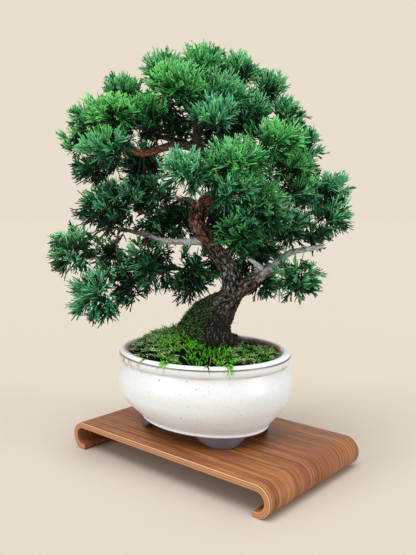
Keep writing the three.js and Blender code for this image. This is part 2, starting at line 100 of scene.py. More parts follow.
def add(tree, kind, inputs=None, **settings):
    """One shader node with its settings and links."""
    made = tree.nodes.new("ShaderNode" + kind)
    if kind == "Mix":  # every mix here is of colours
        made.data_type = "RGBA"
    for name, value in settings.items():
        setattr(made, name, value)
    feed(made, inputs or {})
    return made


def finish_named(name, **constants):
    """A new material and its Principled shader, with the constants set on the shader itself."""
    material = bpy.data.materials.new(name)
    material.use_nodes = True
    shader = material.node_tree.nodes["Principled BSDF"]
    feed(shader, {key.replace("_", " "): value for key, value in constants.items()})
    return material, material.node_tree, shader


# %% Mesh helpers
def placed(name, data):
    """A new object in the scene that shows the given data."""
    made = bpy.data.objects.new(name, data)
    bpy.context.scene.collection.objects.link(made)
    return made


def mesh_piece(name, points, faces, material):
    """A new smooth object from points in metres and faces, with one material."""
    mesh = bpy.data.meshes.new(name)
    mesh.from_pydata([tuple(p) for p in points], [], faces)
    mesh.materials.append(material)
    mesh.polygons.foreach_set("use_smooth", [True] * len(mesh.polygons))
    mesh.update()
    return placed(name, mesh)


def ring_faces(count, around, flipped=False):
    """Quads between neighbouring rings of points, and a face over the first and the last ring."""
    faces = []
    for a in range(count - around):
        b = a - a % around + (a + 1) % around
        faces.append((a, a + around, b + around, b) if flipped else
                     (a, b, b + around, a + around))
    turn = 1 if flipped else -1
    return faces + [tuple(range(around))[::turn], tuple(range(count - around, count))[::-turn]]


def dress(piece, material):
    """The piece shows this material only."""
    piece.data.materials.clear()
    piece.data.materials.append(material)


def note_points(piece, name, values):
    """A number or a place at each point of a piece, which its material reads by name."""
    kind, field = ("FLOAT_VECTOR", "vector") if np.ndim(values) == 2 else ("FLOAT", "value")
    attribute = piece.data.attributes.new(name, kind, "POINT")
    attribute.data.foreach_set(field, np.ravel(values).astype(np.float32))


def stands_for(piece, slot, *nodes):
    """The piece rides on the one body and is shown in place of the nodes. The slot is not used."""
    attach(piece, "root")
    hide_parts(*nodes)
    return piece


def finder(points):
    """A search tree that finds the nearest of some points."""
    made = KDTree(len(points))
    for i, point in enumerate(points):
        made.insert(point, i)
    made.balance()
    return made


def even_turns(count):
    """Turns that are spread evenly round a circle, in radians."""
    return np.arange(count) * 2 * math.pi / count


def smoothstep(x, low, high):
    """From 0 at low to 1 at high, with a soft start and end."""
    t = np.clip((np.asarray(x, float) - low) / (high - low), 0, 1)
    return t * t * (3 - 2 * t)


# %% [markdown]
# ## Camera
# The picture is taken from the stand's front right corner, a little above the pot. The place and the
# turn were solved from the stand's straight edges and the pot's round rim. In an upright picture the
# sensor's width is the picture's long side.

# %% Camera
CAMERA_PLACE = Vector((0.4106, -0.4709, 0.2525))
CAMERA_TURN = math.radians(41.04)
CAMERA_TILT = math.radians(6.05)
LENS_MM = 40.43

camera_data = bpy.data.cameras.new("camera")
camera_data.lens = LENS_MM
camera_data.sensor_width = 36
camera_data.clip_start, camera_data.clip_end = 0.02, 60
camera = placed("camera", camera_data)
camera.location = CAMERA_PLACE
camera.rotation_euler = (math.pi / 2 - CAMERA_TILT, 0, CAMERA_TURN)
bpy.context.scene.camera = camera
print("camera at", [round(c, 3) for c in CAMERA_PLACE])

# %% [markdown]
# ## Floor, backdrop and light
# A seamless paper sweep looks the same on the floor and behind the object. Here the floor is a wide
# plain sheet and the surroundings have the paper's colour. The light on the object is a pale sky all
# round, one broad lamp above and to the left, and a low one on each side of the camera, which lights
# the underside of the pot and of the foliage.

# %% Floor and light
PAPER = "#eadece"
LIGHT_LEVEL = 1.3  # how much more light falls on the floor than its paper sends back
SKY_SHARE = 0.51  # of all that light
FLOOR_HALF = 14.0  # metres

bpy.context.scene.view_settings.view_transform = "Standard"
paper, tree, shader = finish_named("matt_paper", Roughness=1.0, Specular_IOR_Level=0.0)
feed(shader, {"Base Color": [c / LIGHT_LEVEL for c in linear(PAPER)[:3]] + [1]})
corners = [(x * FLOOR_HALF, y * FLOOR_HALF, 0) for x, y in ((-1, -1), (1, -1), (1, 1), (-1, 1))]
floor = mesh_piece("floor", corners, [(0, 1, 2, 3)], paper)

world = bpy.data.worlds.new("studio")
bpy.context.scene.world = world
world.use_nodes = True
tree = world.node_tree
sky = tree.nodes["Background"]
feed(sky, {"Color": (1, 1, 1, 1), "Strength": LIGHT_LEVEL * SKY_SHARE})
seen = add(tree, "Background", {"Color": PAPER, "Strength": 1.0})
ray = add(tree, "LightPath")
both = add(tree, "MixShader", {0: ray.outputs["Is Camera Ray"], 1: sky, 2: seen})
feed(tree.nodes["World Output"], {0: both})


def broad_sun(name, turn, height, share, spread):
    """A lamp like a large softbox, from a compass turn and a height in degrees."""
    data = bpy.data.lights.new(name, "SUN")
    data.angle = math.radians(spread)
    flat_part = math.sin(math.radians(height)) * (1 + math.cos(data.angle / 2)) / 2
    data.energy = math.pi * LIGHT_LEVEL * share / flat_part
    placed(name, data).rotation_euler = (math.radians(90 - height), 0, math.radians(turn))


broad_sun("lamp_above", turn=12, height=72, share=0.39, spread=40)
broad_sun("lamp_low_left", turn=-20, height=11, share=0.05, spread=20)
broad_sun("lamp_low_right", turn=102, height=11, share=0.05, spread=20)

# %% [markdown]
# ## The stand: one board of bent plywood
# Sheets of walnut veneer are glued over a former, so the grain runs along the board, over both rolls
# and under. A sweep does the same: a rounded cross-section travels along the board's own line. Each
# point keeps its place on the flat board, so the grain later follows the bend without a seam.

# %% The stand's board
BOARD_THICK = 6.0
ROLL_RADIUS = 14.5
LIP_LENGTH = 3.8
EDGE_ROUND = 0.7
END_ROUND, END_THIN = 2.2, 0.25  # how long the rounding of an end is, and half its last thickness

low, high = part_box("stand")
stand_centre = (low + high) / 2 / MM
flat_half = (high.x - low.x) / 2 / MM - ROLL_RADIUS
width_half = (high.y - low.y) / 2 / MM
mid_radius = ROLL_RADIUS - BOARD_THICK / 2


def board_line():
    """Stations along the right half: x, z, the outward normal and how far along the board."""
    stations = [(x, 2 * ROLL_RADIUS - BOARD_THICK / 2, 0.0, 1.0, x)
                for x in np.linspace(0, flat_half, 30)[:-1]]
    for angle in np.linspace(math.pi / 2, -math.pi / 2, 49):
        nx, nz = math.cos(angle), math.sin(angle)
        stations.append((flat_half + mid_radius * nx, ROLL_RADIUS + mid_radius * nz, nx, nz,
                         flat_half + mid_radius * (math.pi / 2 - angle)))
    roll_end = stations[-1][4]
    for step in np.linspace(0, 1, 13)[1:]:
        step = math.sin(step * math.pi / 2)
        stations.append((flat_half - LIP_LENGTH * step, BOARD_THICK / 2, 0.0, -1.0,
                         roll_end + LIP_LENGTH * step))
    return stations


def board_section(half_thick):
    """The cross-section: across the board and through it, with rounded edges."""
    round_by = min(EDGE_ROUND, half_thick)
    section = []
    for side_y, side_t, start in ((1, 1, 0), (-1, 1, 90), (-1, -1, 180), (1, -1, 270)):
        for step in range(4):
            angle = math.radians(start + step * 30)
            section.append((side_y * (width_half - round_by) + round_by * math.cos(angle),
                            side_t * (half_thick - round_by) + round_by * math.sin(angle)))
    return section


def stand_board(material):
    right = board_line()
    left = [(-x, z, -nx, nz, -along) for x, z, nx, nz, along in right[:0:-1]]
    stations = left + right
    end = stations[-1][4]
    points, unrolled = [], []
    for x, z, nx, nz, along in stations:
        to_end = min(1.0, (end - abs(along)) / END_ROUND)
        half_thick = max(END_THIN, BOARD_THICK / 2 * math.sqrt(1 - (1 - to_end) ** 2))
        for across, through in board_section(half_thick):
            points.append(((stand_centre.x + x + nx * through) * MM,
                           (stand_centre.y + across) * MM, (z + nz * through) * MM))
            unrolled.append((along, across, through))
    faces = ring_faces(len(points), len(points) // len(stations))
    board = mesh_piece("stand_board", points, faces, material)
    note_points(board, "unrolled", np.array(unrolled))
    return board


# %% [markdown]
# ## Walnut veneer, oiled
# Walnut is a mid brown with darker growth bands, fine long streaks and short open pores. The oil
# leaves a soft satin gloss. The edge shows the glued sheets as thin stripes, lighter than the face.
# The pattern is drawn on the flat board, in millimetres, and the mesh carries it round the bend.

# %% Walnut veneer
def walnut_veneer():
    material, tree, shader = finish_named("walnut_veneer", Roughness=0.5, IOR=1.45)
    place = add(tree, "Attribute", attribute_name="unrolled").outputs["Vector"]
    # Bands 10 mm apart drift slowly along the board, streaks are 2 mm apart, and pores, 0.2 mm wide
    # in real walnut, are drawn 0.8 mm wide to show: sizes along, across and through, in millimetres.
    bands, streaks, pores = (
        add(tree, "TexNoise", {"Vector": add(tree, "VectorMath", {0: place, 1: [1 / c for c in size]},
                                             operation="MULTIPLY"),
                               "Scale": 1.0, "Detail": detail, "Distortion": distortion})
        for size, detail, distortion in (((160, 10, 40), 3.0, 0.6), ((110, 2, 30), 3.0, 0.0),
                                         ((14, 0.8, 9), 1.0, 0.0)))
    band_share = add(tree, "MapRange", {0: bands, 1: 0.38, 2: 0.64})
    face = add(tree, "Mix", {0: band_share, BELOW: "#92542b", ABOVE: "#b87a44"})
    for pattern, low, high, most, code in ((streaks, 0.44, 0.62, 0.85, "#613218"),
                                           (pores, 0.54, 0.7, 0.6, "#4a2a1c")):
        share = add(tree, "MapRange", {0: pattern, 1: low, 2: high, 3: 0.0, 4: most})
        face = add(tree, "Mix", {0: share, BELOW: face, ABOVE: code})
    # The glued sheets are 1.2 mm thick and show only on the board's edges.
    _, side, through = add(tree, "SeparateXYZ", {0: place}).outputs
    across = add(tree, "Math", {0: side}, operation="ABSOLUTE")
    at_edge = add(tree, "MapRange", {0: across, 1: width_half - 0.35, 2: width_half - 0.1})
    turns = 2 * math.pi / 2.4  # one wave is a dark and a light sheet
    sheet = add(tree, "Math", {0: through, 1: turns}, operation="MULTIPLY")
    stripe = add(tree, "Math", {0: sheet}, operation="SINE")
    stripe_share = add(tree, "MapRange", {0: stripe, 1: -0.5, 2: 0.5, 3: 0.2, 4: 0.8})
    sheets = add(tree, "Mix", {0: stripe_share, BELOW: "#9a6240", ABOVE: "#c08a60"})
    edged = add(tree, "Mix", {0: at_edge, BELOW: face, ABOVE: sheets})
    # Handling has rubbed the board's upper edges pale, and a painted highlight lies along them too.
    near_edge = add(tree, "MapRange", {0: across, 1: width_half - 0.6, 2: width_half - 0.3})
    top = BOARD_THICK / 2
    near_top = add(tree, "MapRange", {0: through, 1: top - 0.6, 2: top - 0.3})
    rubbed_and_highlit = add(tree, "Math", {0: near_edge, 1: near_top}, operation="MULTIPLY")
    whole = add(tree, "Mix", {0: rubbed_and_highlit, BELOW: edged, ABOVE: "#e2ba92"})
    bump = add(tree, "Bump", {"Height": streaks, "Strength": 0.12, "Distance": 0.0002})
    feed(shader, {"Base Color": whole, "Normal": bump})
    return material


stand = stands_for(stand_board(walnut_veneer()), "walnut", "stand")
print("stand faces:", len(stand.data.polygons))

# %% [markdown]
# ## The pot
# The pot was thrown or cast as one oval body with a rolled rim, then given four clay feet. A lathe
# profile makes it: measured points joined by a smooth curve, swept round an oval. Each point keeps
# its height and its inset, because the glaze breaks and stains along those same lines.

# %% The pot's wall
POT_LONG, POT_SHORT = 184.0, 161.0
POT_BELLY, POT_TUCK = 44.0, 8.0  # below this height it narrows across, by so much at the feet
POT_TURNS = 224
OUTSIDE_PARTS, RIM_PARTS, INSIDE_PARTS = 3, 4, 2  # steps between two points of each line below
# Inset from the rim's outer edge and height above the feet, from under the pot to the rim.
POT_OUTSIDE = [(26, 10.4), (23.4, 9.3), (21.8, 9.4), (20.9, 10.3), (19.9, 10.7), (18.9, 11.1),
               (18.3, 11.9), (18.3, 12.9), (18.1, 13.9), (16.7, 15.8), (13.8, 19), (10.2, 23.2),
               (6.6, 28), (3.5, 32.6), (1.0, 37), (-0.8, 41.5), (-2.1, 46.5), (-2.7, 51.5),
               (-2.4, 57), (-1.2, 62), (0.7, 67.3), (2.0, 71), (2.5, 73), (1.9, 74.1), (0.7, 75),
               (0.1, 76.2), (-0.25, 78), (-0.25, 80), (0, 81.3), (0.25, 82)]
POT_RIM = [(0.8, 82.7), (2.0, 83.6), (3.6, 84.2), (5.4, 84.3), (7.2, 83.9), (8.5, 83), (9.2, 81.8),
           (9.5, 80)]
POT_INSIDE = [(9.4, 77), (8.2, 71), (6, 62), (4.4, 52), (5, 45), (7.2, 38), (11.8, 29), (18, 22),
              (23, 18.8), (29, 17)]
CLAY_STEPS = 4  # of the outside's points, from under the pot to where the glaze ends
ARRIS_HEIGHT = 81.8
NECK_HEIGHT = 73.2
FRONT_TURN = math.radians(41)  # the tree's front against the stand's
FRONT_COS, FRONT_SIN = math.cos(FRONT_TURN), math.sin(FRONT_TURN)

low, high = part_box("pot")
pot_centre = Vector(((low.x + high.x) / 2, (low.y + high.y) / 2, low.z)) / MM
half_long = POT_LONG / 2
narrower = (POT_LONG - POT_SHORT) / 2
FOOT_HEIGHT = 12.0


def pot_front(x, y):
    """A point of the pot's plan, from its centre, as seen from the tree's front."""
    return x * FRONT_COS + y * FRONT_SIN, y * FRONT_COS - x * FRONT_SIN


def narrower_at(height):
    """How much less each half of the oval is across than along, at a height above the feet."""
    return narrower + POT_TUCK * (1 - float(smoothstep(height, FOOT_HEIGHT, POT_BELLY)))


def smooth_line(points, parts):
    """A curve through every point, as a chain of cubic pieces."""
    points = np.array(points, float)
    padded = np.vstack([2 * points[0] - points[1], points, 2 * points[-1] - points[-2]])
    line = []
    for a, b, c, d in zip(padded, padded[1:], padded[2:], padded[3:]):
        for t in np.arange(parts) / parts:
            line.append(0.5 * (2 * b + (c - a) * t + (2 * a - 5 * b + 4 * c - d) * t ** 2
                               + (3 * b - a - 3 * c + d) * t ** 3))
    return np.vstack([line, points[-1]])


def oval_place(inset, height, turn):
    """A point of the pot's oval, in millimetres."""
    radius = half_long - inset
    squash = 1 - narrower_at(height) / max(radius, half_long / 2)
    return (pot_centre.x + radius * math.cos(turn),
            pot_centre.y + radius * squash * math.sin(turn), pot_centre.z + height)


def oval_sweep(profile, turns):
    """Rings of points for a profile, with the faces between them."""
    points = [oval_place(inset, height, 2 * math.pi * j / turns)
              for inset, height in profile for j in range(turns)]
    return points, ring_faces(len(points), turns)


def pot_wall(glaze, clay):
    outside = smooth_line(POT_OUTSIDE, OUTSIDE_PARTS)
    rim = smooth_line([POT_OUTSIDE[-1]] + POT_RIM, RIM_PARTS)[1:]
    inside = smooth_line([POT_RIM[-1]] + POT_INSIDE, INSIDE_PARTS)[1:]
    profile = np.vstack([outside, rim, inside])
    points, faces = oval_sweep(profile, POT_TURNS)
    wall = mesh_piece("pot_wall", np.array(points) * MM, faces, glaze)
    wall.data.materials.append(clay)
    under = OUTSIDE_PARTS * CLAY_STEPS * POT_TURNS
    for face in list(wall.data.polygons)[:under] + [wall.data.polygons[-2]]:
        face.material_index = 1
    rings = np.repeat(profile, POT_TURNS, axis=0)
    turns = np.tile(even_turns(POT_TURNS), len(profile))
    reach = half_long - rings[:, 0]
    seen = np.column_stack([np.cos(turns - FRONT_TURN) * reach, np.sin(turns - FRONT_TURN) * reach,
                            rings[:, 1]])
    outer_face = np.repeat(np.arange(len(profile)) < len(outside), POT_TURNS)
    note_points(wall, "seen", seen)
    note_points(wall, "inset", rings[:, 0])
    note_points(wall, "outside", outer_face.astype(float))
    return wall


# %% [markdown]
# ## Feet and drain holes
# Each foot is a thick bracket of bare clay, bent to the oval and set under the wall. Its lower line is
# a shallow bow with a short flat, which is all that touches the board. Two round drain holes go
# through the floor, cut with a boolean as a potter cuts them from the leather-hard clay.

# %% The pot's feet
FOOT_HALF, FOOT_FLAT, FOOT_DEPTH, FOOT_INSET = 28.0, 5.0, 12.0, 19.0
FOOT_ALONG, FOOT_ACROSS = 52.0, 46.0
FOOT_STATIONS, FOOT_CURVE = 41, 1.75  # cuts along a foot, and the power of its bow
DRAIN_APART, DRAIN_DIAMETER = 56.0, 14.0
CUTTER_LONG, CUTTER_HEIGHT = 30.0, 12.0  # the cutter's length, and its middle above the feet


def pot_foot(side, front, clay):
    middle = math.atan2(front * FOOT_ACROSS, side * FOOT_ALONG)
    long = half_long - FOOT_INSET
    mean = math.hypot(long * math.cos(middle), (long - narrower_at(0)) * math.sin(middle))
    points = []
    for along in np.linspace(-FOOT_HALF, FOOT_HALF, FOOT_STATIONS):
        rise = max(0.0, abs(along) - FOOT_FLAT) / (FOOT_HALF - FOOT_FLAT)
        bow = FOOT_HEIGHT * rise ** FOOT_CURVE
        for inset, height in ((-0.1, FOOT_HEIGHT), (0.0, bow + 2.0), (0.2, bow + 0.8),
                              (0.6, bow + 0.2), (1.2, bow), (FOOT_DEPTH - 2.2, bow),
                              (FOOT_DEPTH - 0.6, bow + 0.7), (FOOT_DEPTH, FOOT_HEIGHT)):
            height = min(height, FOOT_HEIGHT)
            points.append(oval_place(FOOT_INSET + inset, height, middle + along / mean))
    faces = ring_faces(len(points), len(points) // FOOT_STATIONS, flipped=True)
    return mesh_piece("pot_foot", np.array(points) * MM, faces, clay)


def drain_cutter(side):
    bpy.ops.mesh.primitive_cylinder_add(
        vertices=48, radius=DRAIN_DIAMETER / 2 * MM, depth=CUTTER_LONG * MM,
        location=((pot_centre.x + side * DRAIN_APART / 2) * MM, pot_centre.y * MM,
                  (pot_centre.z + CUTTER_HEIGHT) * MM))
    return bpy.context.object


def use_modifier(piece, kind, **settings):
    """Adds a modifier and applies it at once."""
    modifier = piece.modifiers.new(kind.lower(), kind)
    for name, value in settings.items():
        setattr(modifier, name, value)
    bpy.context.view_layer.objects.active = piece
    piece.select_set(True)
    bpy.ops.object.modifier_apply(modifier=modifier.name)
    piece.select_set(False)


def joined(name, pieces):
    """Several meshes as one object."""
    bpy.ops.object.select_all(action="DESELECT")
    for piece in pieces:
        piece.select_set(True)
    bpy.context.view_layer.objects.active = pieces[0]
    bpy.ops.object.join()
    pieces[0].name = name
    pieces[0].select_set(False)
    return pieces[0]


# %% [markdown]
# ## Glazed stoneware and bare clay
# A thick off-white glaze on iron-bearing clay: softly glossy, with a faint orange-peel waviness,
# tiny iron specks, and a thin dark line where it pulls away from the rim's edge. Water from inside
# has left rust on the rim and in the hollow below it. The feet are unglazed, a matt purple brown.

# %% Glaze
ALL_ROUND = (-300, -299), (301, 300)  # fades that lie past the pot, so a stain goes all round
# Bare pinholes in the glaze: across from the pot's middle, height, radius.
PINHOLES = ((-47.5, 68.5, 0.85), (-12.5, 64.0, 0.6), (-21.5, 70.5, 0.7), (-28.0, 35.0, 0.7),
            (30.0, 40.0, 0.4))


def glazed_stoneware():
    material, tree, shader = finish_named("glazed_stoneware", Roughness=0.38, IOR=1.5,
                                          Coat_Weight=0.2, Coat_Roughness=0.3)
    outside = add(tree, "Attribute", attribute_name="outside").outputs["Fac"]
    inset = add(tree, "Attribute", attribute_name="inset").outputs["Fac"]
    seen = add(tree, "Attribute", attribute_name="seen").outputs["Vector"]
    across, back, height = add(tree, "SeparateXYZ", {0: seen}).outputs
    place = add(tree, "TexCoord").outputs["Object"]
    # Clouds 30 mm across, iron specks 1.5 mm apart, drips 4 mm wide and long downwards, and
    # patches of 22 mm that break the stains up.
    clouds = add(tree, "TexNoise", {"Vector": place, "Scale": 33.0, "Detail": 2.0})
    specks = add(tree, "TexNoise", {"Vector": place, "Scale": 650.0, "Detail": 1.0})
    drip_place = add(tree, "VectorMath", {0: place, 1: (1, 1, 0.16)}, operation="MULTIPLY")
    drips = add(tree, "TexNoise", {"Vector": drip_place, "Scale": 260.0, "Detail": 3.0})
    breaks = add(tree, "TexNoise", {"Vector": place, "Scale": 45.0, "Detail": 4.0})
    # Low on the wall the glaze is painted whiter and bluer: painted light against the shade under the
    # belly and the warm light bounced from the board.
    painted_fill_share = add(tree, "MapRange", {0: height, 1: 50.0, 2: 24.0, 3: 0.0, 4: 0.95})
    speck_share = add(tree, "MapRange", {0: specks, 1: 0.62, 2: 0.76, 3: 0.0, 4: 0.4})
    colour = "#dadee0"
    for share, code in ((clouds, "#e2e5e6"), (painted_fill_share, "#f2fbff"), (speck_share, "#8b8a86")):
        colour = add(tree, "Mix", {0: share, BELOW: colour, ABOVE: code})
    streaks = add(tree, "MapRange", {0: drips, 1: 0.5, 2: 0.62})
    patches = add(tree, "MapRange", {0: breaks, 1: 0.36, 2: 0.62, 3: 0.2, 4: 1.0})
    inside = add(tree, "Math", {0: 1.0, 1: outside}, operation="SUBTRACT")
    # The rim's top is washed whiter, and water and rust have stained the rest. One near black band all
    # round the inner wall below the rim is painted shade, in the hollow over the moss. Each row has two
    # shares, the height or inset it lies at and its half width, the ranges across and back over
    # which it fades in, a colour and how strong it is.
    stains_and_painted_shade = (
        (1.0, inside, inset, 4.5, 7.0, *ALL_ROUND, "#fafcff", 1.0),
        (patches, outside, height, NECK_HEIGHT, 1.6, *ALL_ROUND, "#c0b19b", 0.7),
        (patches, outside, height, NECK_HEIGHT, 0.8, (30, 50), (20, 0), "#7d5c3c", 0.8),
        (streaks, outside, height, 77.0, 7.5, (-58, -78), (30, 0), "#a9794a", 0.85),
        (patches, inside, inset, 9.0, 5.6, (-56, -70), (75, 60), "#9c5a1c", 1.0),
        (patches, inside, inset, 9.2, 3.4, (60, 74), (60, 30), "#9c5e22", 1.0),
        # Painted shade on the inner wall below the rim, all round.
        (1.0, inside, height, 72.0, 10.4, *ALL_ROUND, "#21170f", 1.0),
        (patches, inside, inset, 9.4, 1.3, *ALL_ROUND, "#8a5220", 1.0),
        (patches, inside, inset, 9.2, 3.0, (8, 20), (0, 20), "#7c4a1e", 1.0),
        (0.9, outside, height, ARRIS_HEIGHT, 2.0, *ALL_ROUND, "#55553f", 1.0),
        (patches, outside, height, ARRIS_HEIGHT, 1.3, (66, 82), (60, 30), "#6e4f2c", 0.9),
    )
    for varies, where, along, centre, half, to_side, to_front_of, code, most in stains_and_painted_shade:
        off = add(tree, "Math", {0: along, 1: centre}, operation="SUBTRACT")
        away = add(tree, "Math", {0: off}, operation="ABSOLUTE")
        near = add(tree, "MapRange", {0: away, 1: half * 0.4, 2: half, 3: most, 4: 0.0})
        aside = add(tree, "MapRange", {0: across, 1: to_side[0], 2: to_side[1]})
        nearer = add(tree, "MapRange", {0: back, 1: to_front_of[0], 2: to_front_of[1]})
        share = near
        for factor in (varies, where, aside, nearer):
            share = add(tree, "Math", {0: share, 1: factor}, operation="MULTIPLY")
        colour = add(tree, "Mix", {0: share, BELOW: colour, ABOVE: code})
    flat = add(tree, "VectorMath", {0: seen, 1: (1, 0, 1)}, operation="MULTIPLY")
    at_front = add(tree, "MapRange", {0: back, 1: 0.0, 2: -20.0})
    for hole_across, hole_height, radius in PINHOLES:
        off = add(tree, "VectorMath", {0: flat, 1: (hole_across, 0, hole_height)},
                  operation="DISTANCE")
        hole = add(tree, "MapRange", {0: off, 1: radius, 2: radius * 0.5})
        share = add(tree, "Math", {0: hole, 1: at_front}, operation="MULTIPLY")
        colour = add(tree, "Mix", {0: share, BELOW: colour, ABOVE: "#3b3a45"})
    peel = add(tree, "TexNoise", {"Vector": place, "Scale": 300.0, "Detail": 1.0})
    bump = add(tree, "Bump", {"Height": peel, "Strength": 0.08, "Distance": 0.0004})
    feed(shader, {"Base Color": colour, "Normal": bump})
    return material


def bare_clay():
    material, tree, shader = finish_named("unglazed_stoneware_clay", Roughness=0.78, IOR=1.5)
    place = add(tree, "TexCoord").outputs["Object"]
    grit = add(tree, "TexNoise", {"Vector": place, "Scale": 900.0, "Detail": 3.0})
    clouds = add(tree, "TexNoise", {"Vector": place, "Scale": 90.0, "Detail": 2.0})
    body = add(tree, "Mix", {0: clouds, BELOW: "#544a55", ABOVE: "#6d6068"})
    share = add(tree, "MapRange", {0: grit, 1: 0.3, 2: 0.7, 3: 0.0, 4: 0.5})
    colour = add(tree, "Mix", {0: share, BELOW: body, ABOVE: "#3f363d"})
    bump = add(tree, "Bump", {"Height": grit, "Strength": 0.3, "Distance": 0.0003})
    feed(shader, {"Base Color": colour, "Normal": bump})
    return material


glaze, clay = glazed_stoneware(), bare_clay()
wall = pot_wall(glaze, clay)
for side in (-1, 1):
    cutter = drain_cutter(side)
    use_modifier(wall, "BOOLEAN", operation="DIFFERENCE", object=cutter, solver="EXACT")
    bpy.data.objects.remove(cutter)
feet = [pot_foot(side, front, clay) for side in (-1, 1) for front in (-1, 1)]
pot = stands_for(joined("pot_body", [wall] + feet), "glaze", "pot")
print("pot faces:", len(pot.data.polygons), "materials:", len(pot.data.materials))

# %% [markdown]
# ## Soil and drain meshes
# The root ball's granular soil is almost hidden by the moss, and two squares of plastic mesh keep it
# off the drain holes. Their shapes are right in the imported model, so they only get a finish.

# %% Soil and mesh finishes
def granular_soil():
    material, tree, shader = finish_named("damp_granular_soil", Roughness=0.85)
    place = add(tree, "TexCoord").outputs["Object"]
    grains = add(tree, "TexVoronoi", {"Vector": place, "Scale": 450.0})  # grains of 2 mm
    colour = add(tree, "Mix", {0: grains, BELOW: "#4a3c2e", ABOVE: "#15110d"})
    bump = add(tree, "Bump", {"Height": grains, "Strength": 0.8, "Distance": 0.001})
    feed(shader, {"Base Color": colour, "Normal": bump})
    return material


def moulded_polythene():
    material, tree, shader = finish_named("moulded_black_polythene", Roughness=0.5, IOR=1.5)
    place = add(tree, "TexCoord").outputs["Object"]
    dust = add(tree, "TexNoise", {"Vector": place, "Scale": 400.0, "Detail": 2.0})
    colour = add(tree, "Mix", {0: dust, BELOW: "#141414", ABOVE: "#2c2925"})
    feed(shader, {"Base Color": colour})
    return material


soil_finish, mesh_finish = granular_soil(), moulded_polythene()
for name, finish in (("soil", soil_finish), ("drain_mesh_left", mesh_finish),
                     ("drain_mesh_right", mesh_finish)):
    dress(frame["nodes"][name], finish)
print("finished in place: soil and two meshes")

# %% [markdown]
# ## The tree's wood
# An old juniper is a twisting trunk with branches that were bent by wire, some of them stripped to
# bare silver wood. Each limb is a short list of points with a thickness, seen from the tree's front.
# A round tube follows each list. A voxel remesh then melts the tubes into one skin, as wood grows.

# %% The limbs' lines
TRUNK = [(9, 0, -22, 24), (6, 0, 2, 28), (3.5, 0, 15, 29.5), (8, 0, 30, 22.5),
         (16.5, 0, 42, 17.8), (26, 1, 54, 12.5), (29, 2, 64, 11.5), (28, 2, 72, 10.5),
         (24, 0, 85, 9), (16, -2, 98, 8.4), (4, -4, 113, 8.2), (-4, -3, 123, 8),
         (-7, 0, 133, 8.3), (-5, 3, 143, 8.4), (3, 4, 151, 8), (15, 2, 158, 7.4),
         (25, 0, 167, 7.2), (26, -2, 178, 7),
         (18, -2, 188, 6.5), (4, 0, 198, 6), (-6, 1, 207, 5.5), (-7, 1, 222, 4), (-6, 0, 239, 3.4),
         (-4, 0, 256, 2.6), (-3, -2, 272, 2)]
BRANCHES = {
    "low_right": [(31, 1, 58, 9), (42, -1, 66, 8.6), (52, -3, 74, 7.5), (61, -6, 81, 6.6),
                  (70, -9, 85, 5)],
    "jin_right": [(66, -8, 83, 4.4), (76, -10, 92, 3.8), (85, -12, 100, 3.2), (96, -14, 103, 2.8),
                  (116, -17, 107, 2.4)],
    "jin_left": [(62, -8, 82, 3), (53, -13, 89, 2.3), (44, -17, 96, 1.9), (36, -20, 103, 1)],
    "low_right_live": [(66, -7, 82, 4), (78, -12, 88, 3), (92, -22, 86, 2)],
    "right_hook": [(15, 2, 157, 5), (33, 0, 147, 4), (50, -2, 139, 3), (59, -3, 126, 1.8),
                   (66, -4, 108, 1.3)],
    "left_dead": [(6, -4, 111, 5), (-10, -5, 111, 3.5), (-39, -9, 112, 3), (-53, -11, 117, 2.6),
                  (-68, -13, 121, 2.2), (-80, -13, 124, 1.8), (-92, -14, 125, 1.4),
                  (-102, -16, 122, 1.2), (-111, -18, 114, 1.0)],
    "left_hanging": [(-83, -13, 124, 1.4), (-85, -16, 112, 1.2), (-84, -20, 98, 1)],
    "left_hanging_outer": [(-93, -14, 124, 1.3), (-102, -19, 113, 1.1), (-105, -24, 100, 1)],
    "left_middle": [(-3, 3, 146, 3.4), (-18, 7, 154, 2.1), (-36, 9, 146, 1.7),
                    (-54, 6, 139, 1.4), (-70, -2, 142, 1.2)],
    "crown_left": [(-2, 0, 202, 5), (-20, -4, 206, 4.4), (-36, -8, 204, 4), (-51, -11, 199, 3.6),
                   (-64, -13, 198, 3), (-81, -14, 211, 2.4), (-97, -14, 226, 1.8)],
    "crown_left_back": [(-4, 2, 204, 3.6), (-26, 10, 212, 3), (-44, 15, 217, 2.5),
                        (-76, 26, 232, 1.7)],
    "crown_right": [(-6, 0, 230, 3.2), (18, -2, 244, 2.6), (44, -4, 250, 1.9)],
    "crown_back": [(-6, 0, 212, 3.4), (-2, 18, 226, 2.6), (4, 34, 246, 1.8)],
    "crown_front": [(-6, -1, 232, 3), (-12, -20, 240, 2.4), (-18, -36, 246, 1.8)],
    "high_right": [(24, 0, 172, 4.6), (46, 3, 190, 3.8), (74, 1, 202, 3), (92, -8, 200, 2)],
    "high_right_back": [(52, 3, 193, 3), (62, 18, 200, 2.4), (70, 30, 204, 1.8)],
    "middle_right": [(22, 0, 162, 4.8), (44, -12, 167, 4), (74, -11, 164, 3.2),
                     (98, -10, 152, 2.3)],
    "middle_right_back": [(84, -10, 160, 2.6), (94, 8, 156, 2.1), (102, 22, 154, 1.7)],
    "front": [(17, 0, 159, 4.4), (13, -24, 168, 3.2), (6, -48, 173, 2.3)],
    "back_low": [(4, -2, 112, 4.4), (16, 16, 112, 3.2), (30, 28, 106, 2.2)],
}
RIM_HEIGHT = 82.0  # of the pot's rim above its feet, where the tree's lines are measured from
tree_origin = Vector((pot_centre.x, pot_centre.y, pot_centre.z + RIM_HEIGHT))


def to_frame(points):
    """From the tree's front view to the frame, both in millimetres."""
    points = np.asarray(points, float)
    turned = np.column_stack([points[:, 0] * FRONT_COS - points[:, 1] * FRONT_SIN,
                              points[:, 0] * FRONT_SIN + points[:, 1] * FRONT_COS, points[:, 2]])
    return turned + np.array(tree_origin)


